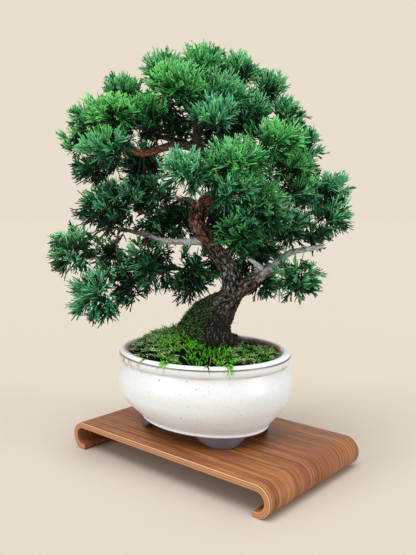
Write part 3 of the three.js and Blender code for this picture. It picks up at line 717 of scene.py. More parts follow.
def to_front(points):
    """From the frame back to the tree's front view, in millimetres."""
    points = np.asarray(points, float) - np.array(tree_origin)
    return np.column_stack([*pot_front(points[:, 0], points[:, 1]), points[:, 2]])


# %% Rings along a limb
RING_STEP = 1.6


def rings_along(points):
    """Centres, radii, two cross directions and distances, closely spaced along a limb."""
    length = sum(math.dist(a[:3], b[:3]) for a, b in zip(points, points[1:]))
    parts = max(2, round(length / (len(points) - 1) / RING_STEP))
    line = smooth_line(points, parts)
    centres, radii = line[:, :3], line[:, 3]
    ahead = np.gradient(centres, axis=0)
    ahead /= np.linalg.norm(ahead, axis=1)[:, None]
    normal = np.cross(ahead[0], (0.0, 1.0, 0.0))
    normals = []
    for direction in ahead:
        normal = normal - direction * normal.dot(direction)
        normal = normal / np.linalg.norm(normal)
        normals.append(normal)
    normals = np.array(normals)
    steps = np.linalg.norm(np.diff(centres, axis=0), axis=1)
    along = np.concatenate([[0], np.cumsum(steps)])
    return centres, radii, normals, np.cross(ahead, normals), along


def flutes(angle, height):
    """How much the trunk swells round its girth: long folds that wind up from the roots."""
    depth = smoothstep(height, 4, 40) * 0.09
    roots = smoothstep(height, 34, 0) * 0.1
    return (1 + depth * (np.sin(3 * angle + height * 0.07) + 0.5 * np.sin(5 * angle - height * 0.11))
            + roots * np.sin(4 * angle + 1.2))


limbs = {name: rings_along(points) for name, points in {"trunk": TRUNK, **BRANCHES}.items()}
print("limbs:", len(limbs), "rings:", sum(len(limb[0]) for limb in limbs.values()))


# %% One skin over all the limbs
VOXEL = 0.75  # millimetres
TRUNK_SIDES, LIMB_SIDES = 32, 14


def limb_tube(name, sides):
    centres, radii, normals, across, _ = limbs[name]
    angles = even_turns(sides)
    points = []
    for centre, radius, normal, other in zip(centres, radii, normals, across):
        reach = radius * (flutes(angles, centre[2]) if name == "trunk" else np.ones(sides))
        points.append(centre + np.outer(np.cos(angles) * reach, normal)
                      + np.outer(np.sin(angles) * reach, other))
    points = to_frame(np.vstack(points)) * MM
    return mesh_piece(name, points, ring_faces(len(points), sides), soil_finish)


tubes = [limb_tube(name, TRUNK_SIDES if name == "trunk" else LIMB_SIDES) for name in limbs]
wood = joined("tree_wood", tubes)
use_modifier(wood, "REMESH", mode="VOXEL", voxel_size=VOXEL * MM, adaptivity=0.0)
use_modifier(wood, "SMOOTH", factor=0.5, iterations=3)
print("wood faces:", len(wood.data.polygons))

# %% [markdown]
# ## Bark relief
# Juniper bark peels in long strips, and bare dead wood has fine grooves along its grain. So each point
# of the skin first learns which limb it is on, how far along and how far round. Noise that is
# stretched along the limb then lifts or sinks it, deeper on the thick trunk than on a twig.

# %% Where each point is on its limb
LIMB_SHIFT = 37.0  # along the grain's noise from limb to limb, so that no two share a pattern
RINGS_NEAR = 10  # where limbs meet, a point belongs to the ring among these that it is deepest in

line_points, line_radii, line_normals, line_across, line_along = (
    np.concatenate(column) for column in zip(*limbs.values()))
line_limb = np.repeat(list(limbs), [len(limb[0]) for limb in limbs.values()])
near = finder(line_points)

skin = np.array([v.co for v in wood.data.vertices]) / MM
front_skin = to_front(skin)
nearest = []
for point in front_skin:
    found = near.find_n(point, RINGS_NEAR)
    nearest.append(min(found, key=lambda hit: hit[2] - line_radii[hit[1]])[1])
nearest = np.array(nearest)
offset = front_skin - line_points[nearest]
angle = np.arctan2((offset * line_across[nearest]).sum(1), (offset * line_normals[nearest]).sum(1))
radius = line_radii[nearest]
along = line_along[nearest]
grain = np.column_stack([np.cos(angle) * radius, np.sin(angle) * radius, along])
on_limb = line_limb[nearest]
grain[:, 2] += LIMB_SHIFT * np.array([list(limbs).index(name) for name in on_limb])
print("points on the trunk:", int((on_limb == "trunk").sum()), "of", len(skin))


# %% Lift and sink the skin
def cell(scale, stretch):
    """What turns the grain's millimetres to cells of a pattern, longer along the limb."""
    return np.array([1 / scale, 1 / scale, 1 / (scale * stretch)])


def grain_noise(scale, stretch, seed):
    """Noise between -1 and 1, in cells of scale millimetres that are longer by stretch."""
    return np.array([noise.noise(point) for point in grain * cell(scale, stretch) + seed])


def plate_edges(scale, stretch, seed):
    """How near each point is to the gap between two plates of bark: 1 in it, 0 away from it."""
    reach = [noise.voronoi(point)[0] for point in wavy_grain * cell(scale, stretch) + seed]
    return 1 - smoothstep([second - first for first, second, *_ in reach], 0.03, 0.4)


x_front, z_front = front_skin[:, 0], front_skin[:, 2]
wavy_grain = grain + 0.9 * np.column_stack([grain_noise(5.0, 1.0, seed) for seed in (5, 7, 9)])
dead = np.zeros(len(skin))
dead[np.char.startswith(on_limb, "jin")] = 1.0
on_left = on_limb == "left_dead"
dead[on_left] = smoothstep(x_front[on_left], -64, -40) * smoothstep(x_front[on_left], 4, -4)
on_hook = on_limb == "right_hook"
dead[on_hook] = 0.55 * smoothstep(radius[on_hook], 4, 2.6)
on_trunk = (on_limb == "trunk").astype(float)
low_trunk = on_trunk * smoothstep(z_front, 62, 30)
bend = on_trunk * smoothstep(z_front, 104, 120) * smoothstep(z_front, 182, 166)
thick = smoothstep(radius, 1.5, 10)
ridges = 1 - 2 * np.abs(grain_noise(3.0, 5.0, 3.0))
flakes = grain_noise(1.3, 2.2, 11.0)
grooves = grain_noise(0.9, 14.0, 23.0)
lumps = grain_noise(8.0, 1.3, 41.0)
gaps = plate_edges(3.4, 2.0, 13.0) * (1 - dead) * thick
relief = (1 - dead) * (0.08 + 0.4 * thick) * ridges + (1 - dead) * (0.08 + 0.35 * thick) * flakes
relief += dead * 0.2 * grooves + (0.25 + 0.9 * low_trunk + 1.7 * bend) * thick * lumps
relief -= 0.85 * gaps
normals = np.array([v.normal for v in wood.data.vertices])
skin = skin + normals * relief[:, None]
wood.data.vertices.foreach_set("co", np.ravel(skin * MM))
wood.data.update()
print("relief from", round(relief.min(), 2), "to", round(relief.max(), 2), "mm")

# %% [markdown]
# ## Bark, bare wood and what grows on them
# Young bark is red brown and fibrous, old bark greys and darkens in its cracks, and the same near black
# is painted shade where the skin sinks and down the lower trunk's right side. Bare juniper wood bleaches
# to silver with a blue cast. Lichen greys the lower trunk, and moss climbs its damp side.
# Each of these covers a share of the skin, which the mesh carries, and the material lays one
# over the other.

# %% What covers each point of the skin
patchy = smoothstep(grain_noise(6.0, 1.2, 57.0), -0.25, 0.25)
spotty = smoothstep(grain_noise(2.6, 1.4, 63.0), -0.1, 0.3)
left_side = smoothstep(x_front - line_points[nearest][:, 0], 7, -8)
on_red_limb = (on_limb == "crown_left") * smoothstep(x_front, -28, -44)
under = smoothstep(normals[:, 2], 0.1, -0.6)
on_fork = on_limb == "low_right"
fork_bark = on_fork * (0.35 * patchy + 0.65 * under)
cut_end = on_fork * smoothstep(x_front, 50, 56)
shares = {
    "red": np.clip(bend * (0.55 + 0.45 * patchy) + on_red_limb + 0.8 * fork_bark, 0, 1),
    "lichen": (1.2 * on_trunk * smoothstep(z_front, 34, 50) * smoothstep(z_front, 100, 76)
               + 1.1 * on_fork * (1 - under)) * spotty * (0.4 + 0.6 * patchy),
    "mossy": np.clip(low_trunk * (0.12 * patchy + 1.1 * left_side) * (0.6 + 0.4 * patchy)
                     + 0.5 * on_trunk * smoothstep(z_front, 76, 50) * patchy * left_side, 0, 1),
    "dead": np.clip(dead * (1 - 0.6 * spotty * (1 - patchy)) + 0.9 * cut_end * patchy, 0, 1),
    "tan": np.clip(dead * patchy * spotty * 0.55 + 0.6 * cut_end * (1 - patchy)
                   + 0.55 * bend * spotty * patchy, 0, 1),
    # Gaps between bark plates, plus painted shade in sunk relief and on the lower trunk's right side.
    "crack": np.clip(0.95 * gaps + smoothstep(relief, -0.35, -0.9)
                     + 0.9 * low_trunk * (1 - left_side) * (0.5 + 0.5 * spotty), 0, 1),
}
note_points(wood, "grain", grain)
for name, share in shares.items():
    note_points(wood, name, np.clip(share, 0, 1))
    print(name, "covers", round(float(share.mean()) * 100), "% of the skin")


# %% Juniper bark
# What lies over what: name of its share, then its dark, middle and light colour.
BARK_LAYERS = (
    ("red", "#24120a", "#9a5c3c", "#deaa86"),
    ("lichen", "#3c4742", "#a3b4ae", "#e2eae6"),
    ("mossy", "#0a1206", "#28461c", "#5a8a3c"),
    ("dead", "#8d9299", "#d3dbe4", "#ffffff"),
    ("tan", "#6a4a35", "#c09a7c", "#e8cdb4"),
    ("crack", "#0a0705", "#120d0a", "#2a211a"),
)


def juniper_bark():
    material, tree, shader = finish_named("juniper_bark_and_bare_wood", Roughness=0.85, IOR=1.5,
                                          Specular_IOR_Level=0.25)
    grain_place = add(tree, "Attribute", attribute_name="grain").outputs["Vector"]
    place = add(tree, "TexCoord").outputs["Object"]
    # Fibres 0.9 mm wide run along each limb, and flecks of loose bark are 1.2 mm across.
    fibre_place = add(tree, "VectorMath", {0: grain_place, 1: (1 / 0.9, 1 / 0.9, 1 / 6)},
                      operation="MULTIPLY")
    fibres = add(tree, "TexNoise", {"Vector": fibre_place, "Scale": 1.0, "Detail": 4.0,
                                    "Roughness": 0.65})
    specks = add(tree, "TexNoise", {"Vector": place, "Scale": 1 / 0.0012, "Detail": 3.0,
                                    "Roughness": 0.7})
    body_share = add(tree, "MapRange", {0: fibres, 1: 0.4, 2: 0.58})
    fleck_share = add(tree, "MapRange", {0: specks, 1: 0.52, 2: 0.66, 4: 0.85})
    colour = None
    for name, dark, middle, light in (("old", "#14100d", "#665850", "#c4b9b0"), *BARK_LAYERS):
        body = add(tree, "Mix", {0: body_share, BELOW: dark, ABOVE: middle})
        flecked = add(tree, "Mix", {0: fleck_share, BELOW: body, ABOVE: light})
        if colour is None:
            colour = flecked
        else:
            share = add(tree, "Attribute", attribute_name=name).outputs["Fac"]
            colour = add(tree, "Mix", {0: share, BELOW: colour, ABOVE: flecked})
    both = add(tree, "Math", {0: fibres, 1: specks}, operation="ADD")
    bump = add(tree, "Bump", {"Height": both, "Strength": 0.8, "Distance": 0.0008})
    feed(shader, {"Base Color": colour, "Normal": bump})
    return material


dress(wood, juniper_bark())
wood.data.polygons.foreach_set("use_smooth", [True] * len(wood.data.polygons))
stands_for(wood, "bark", "tree")
print("bark on", len(wood.data.polygons), "faces")

# %% [markdown]
# ## Thousands of small spikes at once
# Moss blades and leaf shoots are too many to make one by one. Arrays hold them all: where each starts,
# which way it goes, how it bends, its length and thickness. One function turns them to rings of points,
# and another hands all the points and faces to Blender in one go.

# %% Spikes as arrays
UP = np.array([0.0, 0.0, 1.0])


def unit(vectors):
    return vectors / np.maximum(np.linalg.norm(vectors, axis=-1, keepdims=True), 1e-9)


def cross_directions(ahead):
    """Two directions across each one given."""
    helper = np.where(np.abs(ahead[:, 2:3]) > 0.9, [[1.0, 0, 0]], [[0, 0, 1.0]])
    first = unit(np.cross(ahead, helper))
    return first, np.cross(ahead, first)


def spikes(name, rows, sides, ring_at, ring_wide, material):
    """One mesh of bent tapering spikes, in millimetres, with where each point is along its own."""
    start, ahead, bend, length, radius = rows[:5]
    first, second = cross_directions(ahead)
    at = ring_at[None, :, None]
    middles = (start[:, None] + ahead[:, None] * length[:, None, None] * at
               + bend[:, None] * length[:, None, None] * at ** 2)
    turns = even_turns(sides)
    outward = (first[:, None] * np.cos(turns)[None, :, None]
               + second[:, None] * np.sin(turns)[None, :, None])
    wide = radius[:, None] * ring_wide
    rings = middles[:, :, None] + wide[:, :, None, None] * outward[:, None]
    tips = start + (ahead + bend) * length[:, None]
    count, per = len(start), len(ring_at) * sides + 1
    points = np.concatenate([rings.reshape(count, -1, 3), tips[:, None]], axis=1)
    quads = [(i * sides + j, i * sides + (j + 1) % sides, (i + 1) * sides + (j + 1) % sides,
              (i + 1) * sides + j) for i in range(len(ring_at) - 1) for j in range(sides)]
    last = (len(ring_at) - 1) * sides
    fans = [(last + j, last + (j + 1) % sides, per - 1) for j in range(sides)]
    base = np.arange(count)[:, None, None] * per
    four, three = np.array(quads)[None] + base, np.array(fans)[None] + base
    corners = np.concatenate([four.ravel(), three.ravel()]).astype(np.int32)
    sizes = np.concatenate([np.full(four.size // 4, 4), np.full(three.size // 3, 3)])
    mesh = bpy.data.meshes.new(name)
    mesh.vertices.add(count * per)
    mesh.vertices.foreach_set("co", points.astype(np.float32).ravel() * MM)
    mesh.loops.add(len(corners))
    mesh.loops.foreach_set("vertex_index", corners)
    mesh.polygons.add(len(sizes))
    mesh.polygons.foreach_set("loop_start", (np.cumsum(sizes) - sizes).astype(np.int32))
    mesh.update(calc_edges=True)
    mesh.polygons.foreach_set("use_smooth", [True] * len(sizes))
    mesh.materials.append(material)
    piece = placed(name, mesh)
    along_it = np.tile(np.concatenate([np.repeat(ring_at, sides), [1.0]]), count)
    tint_and_light, kind = np.repeat(rows[5], per), np.repeat(rows[6], per)
    note_points(piece, "shoot", np.column_stack([tint_and_light, along_it, kind]))
    lay_out_bake(mesh, corners, count, len(ring_at), sides)
    return piece


def lay_out_bake(mesh, corners, count, rings, sides):
    """A map with one small square for each spike, so that its colours can be baked."""
    per = rings * sides + 1
    across = math.ceil(math.sqrt(count))
    spike, within = np.arange(count * per) // per, np.arange(count * per) % per
    tip = within == per - 1
    u = np.where(tip, rings, within // sides) / rings
    v = np.where(tip, (sides - 1) / 2, within % sides) / (sides - 1)
    places = np.column_stack([(spike % across + 0.15 + 0.7 * u) / across,
                              (spike // across + 0.15 + 0.7 * v) / across])
    layer = mesh.uv_layers.new(name="OFBake")
    layer.data.foreach_set("uv", places[corners].astype(np.float32).ravel())


def stacked(rows):
    """Several sets of spikes as one."""
    return [np.concatenate(columns) for columns in zip(*rows)]


# %% [markdown]
# ## Moss over the soil
# Moss is laid over the root ball as a cushion, highest on the left. The cushion is a disc of rings
# whose height follows the imported model's own mound, painted near black as the shade among the
# blades. On it grow thousands of small blades in patches: pale curly stars on the left, lively grass
# green in the middle, and a bare patch behind the trunk, where the bed's painted shade shows.

# %% The cushion
MOSS_EDGE, MOSS_LOW, MOSS_HIGH, MOSS_TUFT = 79.0, 4.0, 19.0, 1.5
MOSS_REACH, MOSS_BOTTOM = 80.9, 76.3  # outer radius, and the underside's height above the feet
CUSHION_RINGS, CUSHION_TURNS = 64, 220


def moss_height(x, y, outward):
    """Height above the pot's feet at a point of the plan, from the pot's centre."""
    left = smoothstep(-pot_front(x, y)[0], -35, 30)
    tufts = MOSS_TUFT * (np.sin(x * 0.31 + 1) + np.sin(y * 0.37 + x * 0.12))
    return MOSS_EDGE + (MOSS_LOW + (MOSS_HIGH - MOSS_LOW) * left + tufts) * (1 - outward ** 4)


def moss_plan(outward, turn):
    return (MOSS_REACH * outward * np.cos(turn), (MOSS_REACH - narrower) * outward * np.sin(turn))


def moss_cushion(material):
    points = []
    for ring in range(1, CUSHION_RINGS + 1):
        outward = ring / CUSHION_RINGS
        for turn in even_turns(CUSHION_TURNS):
            x, y = moss_plan(outward, turn)
            lumps = 1.2 * noise.noise((x * 0.16, y * 0.16, 1)) + 0.5 * noise.noise((x * 0.6, y * 0.6, 4))
            z = moss_height(x, y, outward) - 0.6 + lumps * (1 - outward ** 6)
            points.append((x, y, z))
    points += [(*moss_plan(1.0, turn), MOSS_BOTTOM) for turn in even_turns(CUSHION_TURNS)]
    faces = ring_faces(len(points), CUSHION_TURNS, flipped=True)
    points = (np.array(points) + np.array(pot_centre)) * MM
    return mesh_piece("moss_cushion", points, faces, material)


def damp_moss_bed_in_painted_shade():
    material, tree, shader = finish_named("damp_moss_bed_in_painted_shade", Roughness=0.95, Specular_IOR_Level=0.05)
    place = add(tree, "TexCoord").outputs["Object"]
    clumps = add(tree, "TexVoronoi", {"Vector": place, "Scale": 500.0})  # clumps 2 mm across
    patches = add(tree, "TexNoise", {"Vector": place, "Scale": 60.0, "Detail": 3.0})
    share = add(tree, "MapRange", {0: patches, 1: 0.42, 2: 0.6})
    # The bed is damp and dark, and painted near black besides, as the shade among the blades.
    green = add(tree, "Mix", {0: share, BELOW: "#0d0b07", ABOVE: "#131d0a"})
    colour = add(tree, "Mix", {0: clumps, BELOW: green, ABOVE: "#070604"})
    bump = add(tree, "Bump", {"Height": clumps, "Strength": 0.7, "Distance": 0.001})
    feed(shader, {"Base Color": colour, "Normal": bump})
    return material


bed = stands_for(moss_cushion(damp_moss_bed_in_painted_shade()), "moss", "moss")
print("moss bed faces:", len(bed.data.polygons))


# %% [markdown]
# ## Blades of moss
# One blade is a bent three-sided spike. Where it stands decides how it looks: a noise pattern breaks
# the patches up, and every blade is tinted a little differently. Some tufts spill over the pot's rim
# and some climb the trunk's damp left side.

# %% Where each kind of moss grows
STAR, SPILLED, GRASS, DARK = 0.0, 0.35, 0.5, 1.0  # kinds of blade, by their green
STAR_BLADES = 8
TUFT_INSET, TUFT_HEIGHT = 6.4, 84.4  # where a tuft stands on the rim
BLADE_AT, BLADE_WIDE = np.array([0.0, 0.45, 0.8]), np.array([1.0, 0.85, 0.5])
moss_random = np.random.default_rng(7)


def on_bed(plan):
    """Points of the cushion's top over points of its plan, which is from the pot's centre."""
    outward = np.hypot(plan[:, 0] / MOSS_REACH, plan[:, 1] / (MOSS_REACH - narrower))
    height = moss_height(plan[:, 0], plan[:, 1], np.minimum(outward, 1))
    return np.column_stack([plan[:, 0], plan[:, 1], height]) + np.array(pot_centre)


def scattered(count):
    """Even random places of the cushion's plan."""
    outward = np.sqrt(moss_random.uniform(0, 0.97, count))
    return np.column_stack(moss_plan(outward, moss_random.uniform(0, 2 * math.pi, count)))


def clump(plan, size):
    return np.array([noise.noise((x / size, y / size, size)) for x, y in plan])


def leaning(count, lean):
    """Ways that point up and lean aside by up to the given share."""
    turn = moss_random.uniform(0, 2 * math.pi, count)
    out = lean * np.sqrt(moss_random.uniform(0, 1, count))
    return unit(np.column_stack([np.cos(turn) * out, np.sin(turn) * out, np.ones(count)]))


def blade_rows(foot, way, curl, length, radius, tint, kind):
    count = len(foot)
    bend = curl * (way * np.array([1, 1, 0]) * 1.4 - UP * 0.5)
    return (foot, way, bend, length, np.full(count, radius), tint, np.full(count, kind))


def grass(count, left, right, length, thick, floor_share):
    """Upright blades between two lines across the pot, in clumps."""
    plan = scattered(count)
    across, back = pot_front(plan[:, 0], plan[:, 1])
    thin = smoothstep(back, -2, 22) * smoothstep(across, -4, 24)  # bare soil behind the trunk
    kept = (across > left) & (across < right) & (clump(plan, 9.0) > floor_share)
    kept &= moss_random.uniform(0, 1, count) > 0.96 * thin
    plan = plan[kept]
    reach = length * moss_random.uniform(0.6, 1.25, len(plan)) * (1 + 0.5 * clump(plan, 5.0))
    tint = 0.4 + 0.45 * clump(plan, 6.0) + moss_random.normal(0, 0.3, len(plan))
    return blade_rows(on_bed(plan) - UP * 1.2, leaning(len(plan), 0.7), 0.35, reach, thick,
                      np.clip(tint, 0, 1), GRASS)


def stars(count, left, right):
    """Low stars of curly blades."""
    plan = scattered(count)
    across, back = pot_front(plan[:, 0], plan[:, 1])
    bare = smoothstep(back, 4, 30) * smoothstep(across, -4, 20)
    kept = (across > left) & (across < right) & (clump(plan, 7.0) > -0.26 + bare)
    plan = np.repeat(plan[kept], STAR_BLADES, axis=0)
    foot = on_bed(plan) + moss_random.normal(0, 0.35, (len(plan), 3)) - UP * 0.3
    reach = moss_random.uniform(3.2, 7.0, len(plan))
    tint = 0.4 + 0.6 * clump(plan, 5.0) + moss_random.normal(0, 0.32, len(plan))
    return blade_rows(foot, leaning(len(plan), 1.6), 0.4, reach, 0.58, np.clip(tint, 0, 1), STAR)


# %% Tufts on the rim and on the trunk
def rim_tuft(across, count):
    """A tuft that leans over the rim's front, at a place across the pot."""
    turns = np.linspace(0, 2 * math.pi, 721)  # every half degree
    places = np.array([oval_place(TUFT_INSET, TUFT_HEIGHT, turn) for turn in turns])
    seen = pot_front(places[:, 0] - pot_centre.x, places[:, 1] - pot_centre.y)
    off = np.abs(seen[0] - across) + 1000 * (seen[1] > 0)  # the far side is left out
    foot = places[np.argmin(off)] + moss_random.normal(0, 1.0, (count, 3)) * [1.2, 1.2, 0.3]
    outward = unit((foot - np.array(pot_centre)) * np.array([1, 1, 0]))
    way = unit(outward + UP * moss_random.uniform(0.1, 0.8, (count, 1))
               + moss_random.normal(0, 0.4, (count, 3)))
    length = moss_random.uniform(5, 11, count)
    tint = np.clip(moss_random.normal(0.6, 0.25, count), 0, 1)
    bend = -UP * moss_random.uniform(0.3, 0.9, (count, 1))
    return (foot, way, bend, length, np.full(count, 0.8), tint,
            np.full(count, SPILLED))


def trunk_moss(count):
    """Short blades on the trunk where its skin is noted as mossy."""
    share = shares["mossy"] ** 2
    picked = moss_random.choice(len(skin), count, p=share / share.sum())
    way = unit(normals[picked] + UP * 0.5 + moss_random.normal(0, 0.5, (count, 3)))
    length = moss_random.uniform(1.2, 3.8, count)
    tint = np.clip(moss_random.normal(0.35, 0.4, count), 0, 1)
    return blade_rows(skin[picked] - normals[picked] * 0.3, way, 0.4, length, 0.42, tint, DARK)


def stalks(count):
    """Thin fruiting stalks that stand above the moss."""
    plan = scattered(count)
    way = leaning(count, 0.35)
    return blade_rows(on_bed(plan), way, 0.2, moss_random.uniform(8, 14, count), 0.2,
                      np.full(count, 0.9), STAR)


def moss_blade():
    material, tree, shader = finish_named("living_moss_blades", Roughness=0.6, IOR=1.45,
                                          Specular_IOR_Level=0.12)
    shoot = add(tree, "Attribute", attribute_name="shoot").outputs["Vector"]
    tint, along_it, kind = add(tree, "SeparateXYZ", {0: shoot}).outputs
    pale, vivid, dark = (
        add(tree, "Mix", {0: tint, BELOW: low, ABOVE: high})
        for low, high in (("#468436", "#ecffc4"), ("#187204", "#94fc40"), ("#173c14", "#86bc68")))
    not_star = add(tree, "MapRange", {0: kind, 1: 0.0, 2: 0.5})
    on_trunk = add(tree, "MapRange", {0: kind, 1: 0.5, 2: 1.0})
    # Each blade darkens to near black at its foot: older stems, and painted shade among the blades.
    root = add(tree, "MapRange", {0: along_it, 1: 0.15, 2: 0.65, 3: 1.0, 4: 0.0})
    colour = pale
    for share, above in ((not_star, vivid), (on_trunk, dark), (root, "#050b04")):
        colour = add(tree, "Mix", {0: share, BELOW: colour, ABOVE: above})
    feed(shader, {"Base Color": colour})
    return material


blades = stacked([grass(5600, -44, 32, 8.5, 0.55, -0.02), grass(3400, 22, 78, 5.8, 0.5, -0.05),
                  grass(1500, -80, -34, 5.0, 0.5, 0.1), stars(900, -82, -24), stars(380, 18, 78),
                  rim_tuft(-34, 44), rim_tuft(23, 56), rim_tuft(4, 7), rim_tuft(-54, 7),
                  trunk_moss(5200), stalks(26)])
lawn = spikes("moss_blades", blades, 3, BLADE_AT, BLADE_WIDE, moss_blade())
stands_for(lawn, "moss", "moss")
print("moss blades:", len(blades[0]))

# %% [markdown]
# ## Foliage: scale-leaf shoots
# This juniper has no flat leaves. Tiny scales clasp thin cords, 1.1 mm thick, which fork again and
# again into fans. A tapered tube with a few rings is one cord. A twig leaves the branch and forks to a
# few knots inside the spray, each knot holds fans of cords that reach for the light, and all of it
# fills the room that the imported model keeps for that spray. The draw is seeded, so it never changes.

# %% Where the sprays are
# The middle of each, and half of its width and height, as seen from the tree's front.
SPRAYS = {
    "crown_top": (-3, -10, 281, 23, 21), "crown_left": (-37, -5, 275, 23, 19),
    "crown_front": (-23, -53, 252, 23, 16), "crown_right": (34, -5, 275, 19, 18),
    "crown_back": (1, 45, 276, 30, 22), "upper_right": (62, 0, 260, 20, 15),
    "upper_left": (-78, 0, 256, 20, 17), "left_bright": (-82, -50, 230, 22, 14),
    "left_outer_high": (-110, -10, 229, 17, 14), "left_outer_low": (-120, -5, 209, 17, 15),
    "left_teal": (-86, -45, 200, 22, 12), "left_under": (-103, 8, 184, 26, 12),
    "left_back": (-94, 45, 230, 28, 22), "inner_left": (-53, -24, 230, 20, 15),
    "inner_left_back": (-62, 30, 186, 17, 17), "center_front": (16, -40, 244, 20, 17),
    "center_back": (22, 42, 230, 26, 22), "center_sprig": (11, -60, 224, 13, 11),
    "inner_right": (42, -25, 230, 17, 18), "right_upper": (77, -5, 233, 20, 17),
    "right_bright": (65, -55, 204, 20, 13), "right_outer": (98, -15, 205, 17, 15),
    "right_front": (85, -34, 182, 22, 13), "right_back": (80, 42, 206, 28, 24),
    "far_right_high": (123, -10, 164, 23, 15), "far_right_low": (124, -15, 136, 20, 17),
    "right_lower_front": (88, -40, 158, 17, 13), "far_right_back": (112, 36, 154, 22, 20),
    "front_left": (-14, -73, 175, 18, 11), "front_right": (26, -66, 183, 25, 12),
    "front_low": (27, -66, 159, 20, 11), "right_drop": (54, -50, 143, 18, 17),
    "low_center": (37, -42, 120, 16, 13), "low_right": (80, -20, 126, 20, 14),
    "low_right_edge": (108, 4, 118, 18, 12), "back_middle": (19, 38, 132, 18, 20),
    "jin_spray": (90, -30, 76, 24, 20), "low_back_right": (60, 12, 66, 18, 13),
    "middle_left": (-88, -15, 145, 26, 19), "middle_left_inner": (-54, 8, 156, 17, 13),
    "inner_middle": (-24, 24, 136, 16, 16), "low_left_tip": (-128, -20, 102, 25, 22),
    "low_left_front": (-101, -36, 61, 29, 23), "low_left_middle": (-55, -10, 87, 25, 20),
    "low_left_inner": (-76, 4, 60, 17, 17), "hanging": (-14, 6, 78, 17, 22),
    "under_trunk": (14, 17, 88, 11, 10), "low_left_back": (-97, 22, 94, 20, 15),
    "low_left_high": (-44, 8, 124, 14, 11), "low_back": (52, 42, 100, 23, 20),
}
DEPTH_SHARE = 0.9  # a spray's depth against its width
FULL_INSIDE, FULL_OUTSIDE = 1.6, 1.03  # how far the fine tips pass the solid's few needles
# Young yellow-green growth: middle and reach of each patch.
YOUNG = ((-31, -50, 256, 34), (-94, -50, 232, 30), (71, -50, 207, 24), (19, -66, 175, 26),
         (4, -10, 292, 26), (-128, -10, 212, 22), (-62, -40, 262, 22), (88, -50, 176, 18))
# Sprays in the shade of others, and by how much.
SHADED = {"middle_left": 0.34, "middle_left_inner": 0.4, "left_under": 0.3, "inner_left": 0.3,
          "inner_left_back": 0.34, "low_left_middle": 0.34, "low_left_inner": 0.36, "hanging": 0.36,
          "low_left_high": 0.36, "under_trunk": 0.36, "inner_middle": 0.36, "back_middle": 0.34,
          "low_back": 0.34, "low_back_right": 0.3, "low_left_back": 0.34, "low_left_tip": 0.12,
          "low_left_front": 0.1, "inner_right": 0.2, "center_back": 0.25, "low_center": 0.2,
          "right_lower_front": 0.14, "low_right": 0.2, "low_right_edge": 0.16, "jin_spray": 0.1,
          "right_drop": 0.12, "front_low": 0.08}
CROWN_MIDDLE, CROWN_REACH = np.array([-5.0, 0.0, 160.0]), np.array([130.0, 130.0, 140.0])
box_low, box_high = (np.array(corner) / MM for corner in CAD_BOX)
box_room = (box_high - box_low) * 0.006  # how far a cord's tip may pass the box
missing = {"spray_" + name for name in SPRAYS} ^ {n for n in frame["nodes"] if "spray_" in n}
print("sprays:", len(SPRAYS), "without a node:", missing)

# %% How cords grow
CORD_SIDES = 5
CORD_AT, CORD_WIDE = np.array([0.0, 0.36, 0.74, 0.95]), np.array([0.8, 1.0, 0.95, 0.7])
CORD_RADIUS, FORK_RADIUS, TWIG_RADIUS, STEM_RADIUS = 0.57, 0.46, 0.42, 0.9
YOUNGEST, LEAF, FADED, TWIG = -1.0, 0.0, 0.5, 1.0  # kinds of cord, by their colour
BURSTS_PER_AREA, CROWN_MORE = 0.0165, 0.25  # to a square millimetre, and how much more on top
FADED_SHARE = 0.003

bark_points = finder(skin)


def even_directions(count, rng):
    """Directions spread evenly over a ball, with a little disorder."""
    i = np.arange(count) + 0.5
    height = 1 - 2 * i / count
    turn = i * math.pi * (3 - math.sqrt(5)) + rng.uniform(0, 6.28)
    flat = np.sqrt(1 - height ** 2)
    spread = np.column_stack([flat * np.cos(turn), flat * np.sin(turn), height])
    return unit(spread + rng.normal(0, 0.2, spread.shape))


def twigs(start, end, radius, rng):
    """Thin woody cords from place to place, with a slight bend."""
    reach = end - start
    length = np.linalg.norm(reach, axis=1)
    bend = rng.normal(0, 0.09, reach.shape)
    return (start, reach / length[:, None] - bend, bend, length, np.full(len(start), radius),
            rng.uniform(0, 1, len(start)), np.full(len(start), TWIG))


def forks(cords, rng, places, share, spread):
    """Shorter cords on alternate sides of each one given, in the plane of its fan."""
    start, ahead, bend, length, _, tint_and_light, kind, plane = cords
    rows = []
    for order, at in enumerate(places):
        kept = rng.uniform(0, 1, len(start)) < share
        here = np.clip(at + rng.normal(0, 0.05, len(start)), 0.12, 0.94)[:, None]
        from_point = start + ahead * length[:, None] * here + bend * length[:, None] * here ** 2
        side = plane * (1 if order % 2 else -1)
        way = unit(unit(ahead + 2 * bend * here) + side * spread
                   * rng.uniform(0.75, 1.25, (len(start), 1)) + rng.normal(0, 0.07, ahead.shape))
        reach = length * (0.44 - 0.34 * here[:, 0]) * rng.uniform(0.6, 1.3, len(start)) + 1.4
        curl = (ahead - way) * 0.14
        rows.append([column[kept] for column in
                     (from_point, way, curl, reach, np.full(len(start), FORK_RADIUS),
                      np.clip(tint_and_light + rng.normal(0.0, 0.09, len(start)), 0, 1), kind, side)])
    return stacked(rows)


def inside_box(points):
    """Which of some points of the tree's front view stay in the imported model's box."""
    points = to_frame(points)
    return np.all((points > box_low - box_room) & (points < box_high + box_room), axis=1)


def way_out(start, ahead, centre, half):
    """How far each start is from the ellipsoid's surface, along its direction."""
    p, d = (start - centre) / half, ahead / half
    a, b, c = (d * d).sum(1), (p * d).sum(1), (p * p).sum(1) - 1
    return (-b + np.sqrt(np.maximum(b * b - a * c, 0))) / a


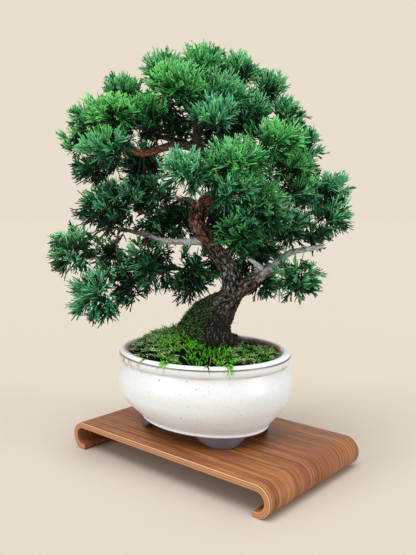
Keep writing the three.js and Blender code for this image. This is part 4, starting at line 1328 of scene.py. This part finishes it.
def bursts(hub, lead, reach, per, spread, tint_and_light, rng):
    """Straight cords from each hub in a cone round its lead, with the plane of their forks."""
    hub, lead, reach, tint_and_light = (np.repeat(a, per, axis=0) for a in (hub, lead, reach, tint_and_light))
    count = len(hub)
    first, second = cross_directions(lead)
    turn = rng.uniform(0, 2 * math.pi, (count, 1))
    lean = spread * np.sqrt(rng.uniform(0, 1, (count, 1)))
    ahead = unit(lead + (first * np.cos(turn) + second * np.sin(turn)) * lean)
    start = hub + lead * rng.uniform(-2.5, 2.5, (count, 1))
    length = reach * rng.uniform(0.7, 1.15, count)
    bend = (lead - ahead) * 0.1 + rng.normal(0, 0.02, ahead.shape)
    tip = start + (ahead + bend) * length[:, None]
    plane_turn = rng.uniform(0, math.pi, (count, 1))
    first, second = cross_directions(ahead)
    plane = first * np.cos(plane_turn) + second * np.sin(plane_turn)
    young = sum(np.exp(-((tip - patch[:3]) ** 2).sum(1) / patch[3] ** 2) for patch in YOUNG)
    young = np.clip(young + rng.normal(0, 0.34, count) - 0.12, 0, 1)
    kind = np.where(rng.uniform(0, 1, count) < FADED_SHARE, FADED, YOUNGEST * young)
    # Painted light: cords that point up are lighter. Young growth is lighter too, and each cord varies
    # at random.
    tint_and_light = tint_and_light + 0.22 * ahead[:, 2] + 0.15 * young + rng.normal(0, 0.24, count)
    return [start, ahead, bend, length, np.full(count, CORD_RADIUS), tint_and_light, kind, plane]


def grow_spray(name, rng):
    """All the cords of one spray, in millimetres, as seen from the tree's front."""
    x, y, z, half_width, half_height = SPRAYS[name]
    middle = np.array([x, y, z], float)
    off = (middle - CROWN_MIDDLE) / CROWN_REACH
    outer = float(smoothstep(math.hypot(off[0], off[2]), 0.45, 0.85))
    half = np.array([half_width, half_width * DEPTH_SHARE, half_height])
    half = half * (FULL_INSIDE + (FULL_OUTSIDE - FULL_INSIDE) * outer)
    crown_way = unit(middle - CROWN_MIDDLE)
    root = to_front([bark_points.find(Vector(to_frame([middle])[0]))[0]])[0]
    reach = middle - root
    area = half[0] * half[1] + half[1] * half[2] + half[2] * half[0]
    shade = SHADED.get(name, 0)
    in_crown = float(smoothstep(z, 170, 215))
    count = max(9, round(BURSTS_PER_AREA * area * (1 + CROWN_MORE * in_crown)))
    way = even_directions(round(count * 1.2), rng)
    liking = way @ unit(crown_way + 0.4 * UP) + rng.normal(0, 0.5, len(way))
    way = way[np.argsort(liking)][-count:]
    hub = middle + half * way * rng.uniform(0.15, 0.85, (count, 1))
    lead = unit(0.5 * unit(way / half) + 0.4 * crown_way + 0.2 * UP
                + rng.normal(0, 0.3, way.shape))
    far = np.clip(way_out(hub, lead, middle, half) * rng.uniform(0.9, 1.2, count) + 3, 12, 22)
    # Painted light and shade: hubs on a spray's upper side are lighter, sprays in the shade of others
    # darker.
    lit = 0.56 + 0.22 * way[:, 2] - shade + rng.normal(0, 0.12, count)
    outside = bursts(hub, lead, far, rng.integers(8, 12, count), 1.0, lit, rng)
    inner = max(4, round(count * 0.7))
    at = rng.uniform(0.5, 1.0, (inner, 1))
    inner_hub = root + reach * at + rng.normal(0, 0.38, (inner, 3)) * half * at
    inner_lead = unit(0.4 * unit(reach) + rng.normal(0, 0.7, (inner, 3)))
    # Cords inside the spray are kept dark, a painted shade.
    inside = bursts(inner_hub, inner_lead, rng.uniform(9, 15, inner), np.full(inner, 8), 1.0,
                    rng.uniform(-0.1, 0.1, inner), rng)
    main = stacked([outside, inside])
    side = forks(main, rng, (0.34, 0.52, 0.7), 0.46, 0.78)
    long_ones = [column[side[3] > 6.0] for column in side]
    small = forks(long_ones, rng, (0.5,), 0.4, 0.6)
    cords = stacked([main[:7], side[:7], small[:7]])
    cords[5] = np.clip(cords[5], 0, 1)
    kept = inside_box(cords[0] + (cords[1] + cords[2]) * cords[3][:, None])
    cords = [column[kept] for column in cords]
    knots_count = max(3, round(count / 5))
    knots = middle + half * even_directions(knots_count, rng) * rng.uniform(
        0.1, 0.3, (knots_count, 1))
    from_knot = ((hub[:, None] - knots[None]) ** 2).sum(2).argmin(1)
    sunk = root - unit(reach) * 0.8
    on_stem = sunk + reach * rng.uniform(0.5, 1.0, (knots_count, 1))
    nearest = root + reach * at
    wood_rows = [twigs(sunk[None], middle[None], STEM_RADIUS, rng),
                 twigs(on_stem, knots, TWIG_RADIUS + 0.2, rng),
                 twigs(nearest, inner_hub + inner_lead, TWIG_RADIUS, rng),
                 twigs(knots[from_knot], hub + lead * 2.0, TWIG_RADIUS, rng)]
    return stacked([cords] + wood_rows)


# %% [markdown]
# ## Four greens
# New growth on top of the tree is a fresh yellow green, older growth a mid green, and some has a
# blue-green bloom. The inside is painted dark as shade, and so are cords that point down and sprays in
# the shade of others. Along each cord the green runs from a painted shade at the root to light at the
# tip, and a few old cords have turned brown.

# %% Scale-leaf finishes
# Each slot's painted shade green, which the scales' joints also take, its body green and its tip green.
GREENS = {
    "foliage_bright": ("#030f05", "#34b452", "#98f894"),
    "foliage_mid": ("#041209", "#349c5e", "#98f0aa"),
    "foliage_blue": ("#05140e", "#349e70", "#96f0be"),
    "foliage_dark": ("#030e08", "#2a7c50", "#82daa2"),
}
YOUNG_GREEN, YOUNG_TIP = "#3ccc4c", "#a4fc88"
SHARED_GREEN, SHARED_TIP = "#32985e", "#94f0ac"


def scale_leaf(name, deep, body, tip):
    material, tree, shader = finish_named(name, Roughness=0.55, IOR=1.45, Specular_IOR_Level=0.25)
    shoot = add(tree, "Attribute", attribute_name="shoot").outputs["Vector"]
    tint_and_light, along_it, kind = add(tree, "SeparateXYZ", {0: shoot}).outputs
    place = add(tree, "TexCoord").outputs["Object"]
    # Branches grow through one another, so clouds 25 mm across bring a shared green into every spray.
    clouds = add(tree, "TexNoise", {"Vector": place, "Scale": 40.0, "Detail": 2.0})
    among = add(tree, "MapRange", {0: clouds, 1: 0.4, 2: 0.6, 3: 0.0, 4: 0.8})
    own_body = add(tree, "Mix", {0: among, BELOW: body, ABOVE: SHARED_GREEN})
    own_tip = add(tree, "Mix", {0: among, BELOW: tip, ABOVE: SHARED_TIP})
    young = add(tree, "MapRange", {0: kind, 1: 0.0, 2: -1.0, 3: 0.0, 4: 0.8})
    leaf_body = add(tree, "Mix", {0: young, BELOW: own_body, ABOVE: YOUNG_GREEN})
    leaf_tip = add(tree, "Mix", {0: young, BELOW: own_tip, ABOVE: YOUNG_TIP})
    # Painted shade: each cord starts near the shade green at its root, and a cord with little painted
    # light stays near it.
    past_root_shade = add(tree, "MapRange", {0: along_it, 1: 0.0, 2: 0.6, 3: 0.15, 4: 1.0})
    sunlit = add(tree, "MapRange", {0: tint_and_light, 1: 0.05, 2: 0.5, 3: 0.06, 4: 1.0})
    lit = add(tree, "Math", {0: past_root_shade, 1: sunlit}, operation="MULTIPLY")
    # The tip green shows where the cord's share of tint and painted light is high.
    fresh = add(tree, "MapRange", {0: along_it, 1: 0.1, 2: 1.0, 3: 0.1, 4: 1.0})
    tip_tint_and_light = add(tree, "MapRange", {0: tint_and_light, 1: 0.35, 2: 0.9})
    toned = add(tree, "Math", {0: fresh, 1: tip_tint_and_light}, operation="MULTIPLY")
    # The scales are 1.5 mm long, and show as faint darker joints.
    scales = add(tree, "TexNoise", {"Vector": place, "Scale": 700.0, "Detail": 1.0})
    joint = add(tree, "MapRange", {0: scales, 1: 0.35, 2: 0.7, 3: 0.3, 4: 0.0})
    faded = add(tree, "MapRange", {0: kind, 1: 0.0, 2: 0.5, 4: 0.8})
    woody = add(tree, "MapRange", {0: kind, 1: 0.5, 2: 1.0})
    colour = deep
    for share, above in ((lit, leaf_body), (toned, leaf_tip), (joint, deep), (faded, "#8a6a3a"),
                         (woody, "#4a3527")):
        colour = add(tree, "Mix", {0: share, BELOW: colour, ABOVE: above})
    feed(shader, {"Base Color": colour})
    return material


greens = {slot: scale_leaf("scale_leaf_" + slot.split("_")[1], *codes)
          for slot, codes in GREENS.items()}

# %% Grow every spray
FIRST_SEED = 1000
slot_of = {row["node"]: row["material_slot"] for row in frame["record"]["subparts"]}


def planted(name, rows, slot):
    """One piece of cords, turned from the tree's front view into the shared frame."""
    rows[0] = to_frame(rows[0])
    for way in (1, 2):
        rows[way] = to_frame(rows[way]) - np.array(tree_origin)
    return spikes(name, rows, CORD_SIDES, CORD_AT, CORD_WIDE, greens[slot])


total = 0
for number, name in enumerate(SPRAYS):
    rows = grow_spray(name, np.random.default_rng(FIRST_SEED + number))
    slot = slot_of["spray_" + name]
    stands_for(planted("fine_" + name, rows, slot), slot, "spray_" + name)
    total += len(rows[0])
print("cords:", total)

# %% [markdown]
# ## Shoots inside the crown
# Close to the limbs the crown isn't empty: short dark shoots and bare twigs live on there in the
# shade. They grow in a few places along the limbs, each on a twig of its own from the nearest bark.

# %% Inner shoots
# Middle, reach and number of bursts, as seen from the tree's front.
INNER = ((-22, 0, 230, 11, 24), (-20, 0, 216, 9, 10), (-34, -4, 218, 12, 13),
         (-40, 6, 233, 12, 9), (-8, 4, 243, 12, 9), (24, 8, 214, 15, 9),
         (-62, 4, 168, 13, 8), (58, 0, 178, 16, 8), (40, 6, 158, 14, 7), (-90, 6, 118, 14, 6))
rng = np.random.default_rng(77)
parts = []
for x, y, z, reach, count in INNER:
    hub = np.array([x, y, z]) + rng.normal(0, 0.55, (count, 3)) * reach
    root = to_front([bark_points.find(Vector(to_frame([h])[0]))[0] for h in hub])
    lead = unit(unit(hub - root) + rng.normal(0, 0.5, hub.shape))
    main = bursts(hub, lead, rng.uniform(8, 14, count), np.full(count, 7), 1.0,
                  rng.uniform(-0.05, 0.15, count), rng)
    # These shoots are kept dark, a painted shade.
    main[5] = np.clip(main[5], 0, 0.4)
    main[6] = np.maximum(main[6], LEAF)
    side = forks(main, rng, (0.4, 0.6, 0.8), 0.5, 0.6)
    parts += [stacked([main[:7], side[:7]]),
              twigs(root - unit(hub - root) * 0.8, hub + lead, TWIG_RADIUS + 0.1, rng)]
inner_shoots = planted("inner_shoots", stacked(parts), "foliage_dark")
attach(inner_shoots, "root")

# %% [markdown]
# ## The last line
# The visual model must stay in the imported model's box.

# %% Finish
print("done")
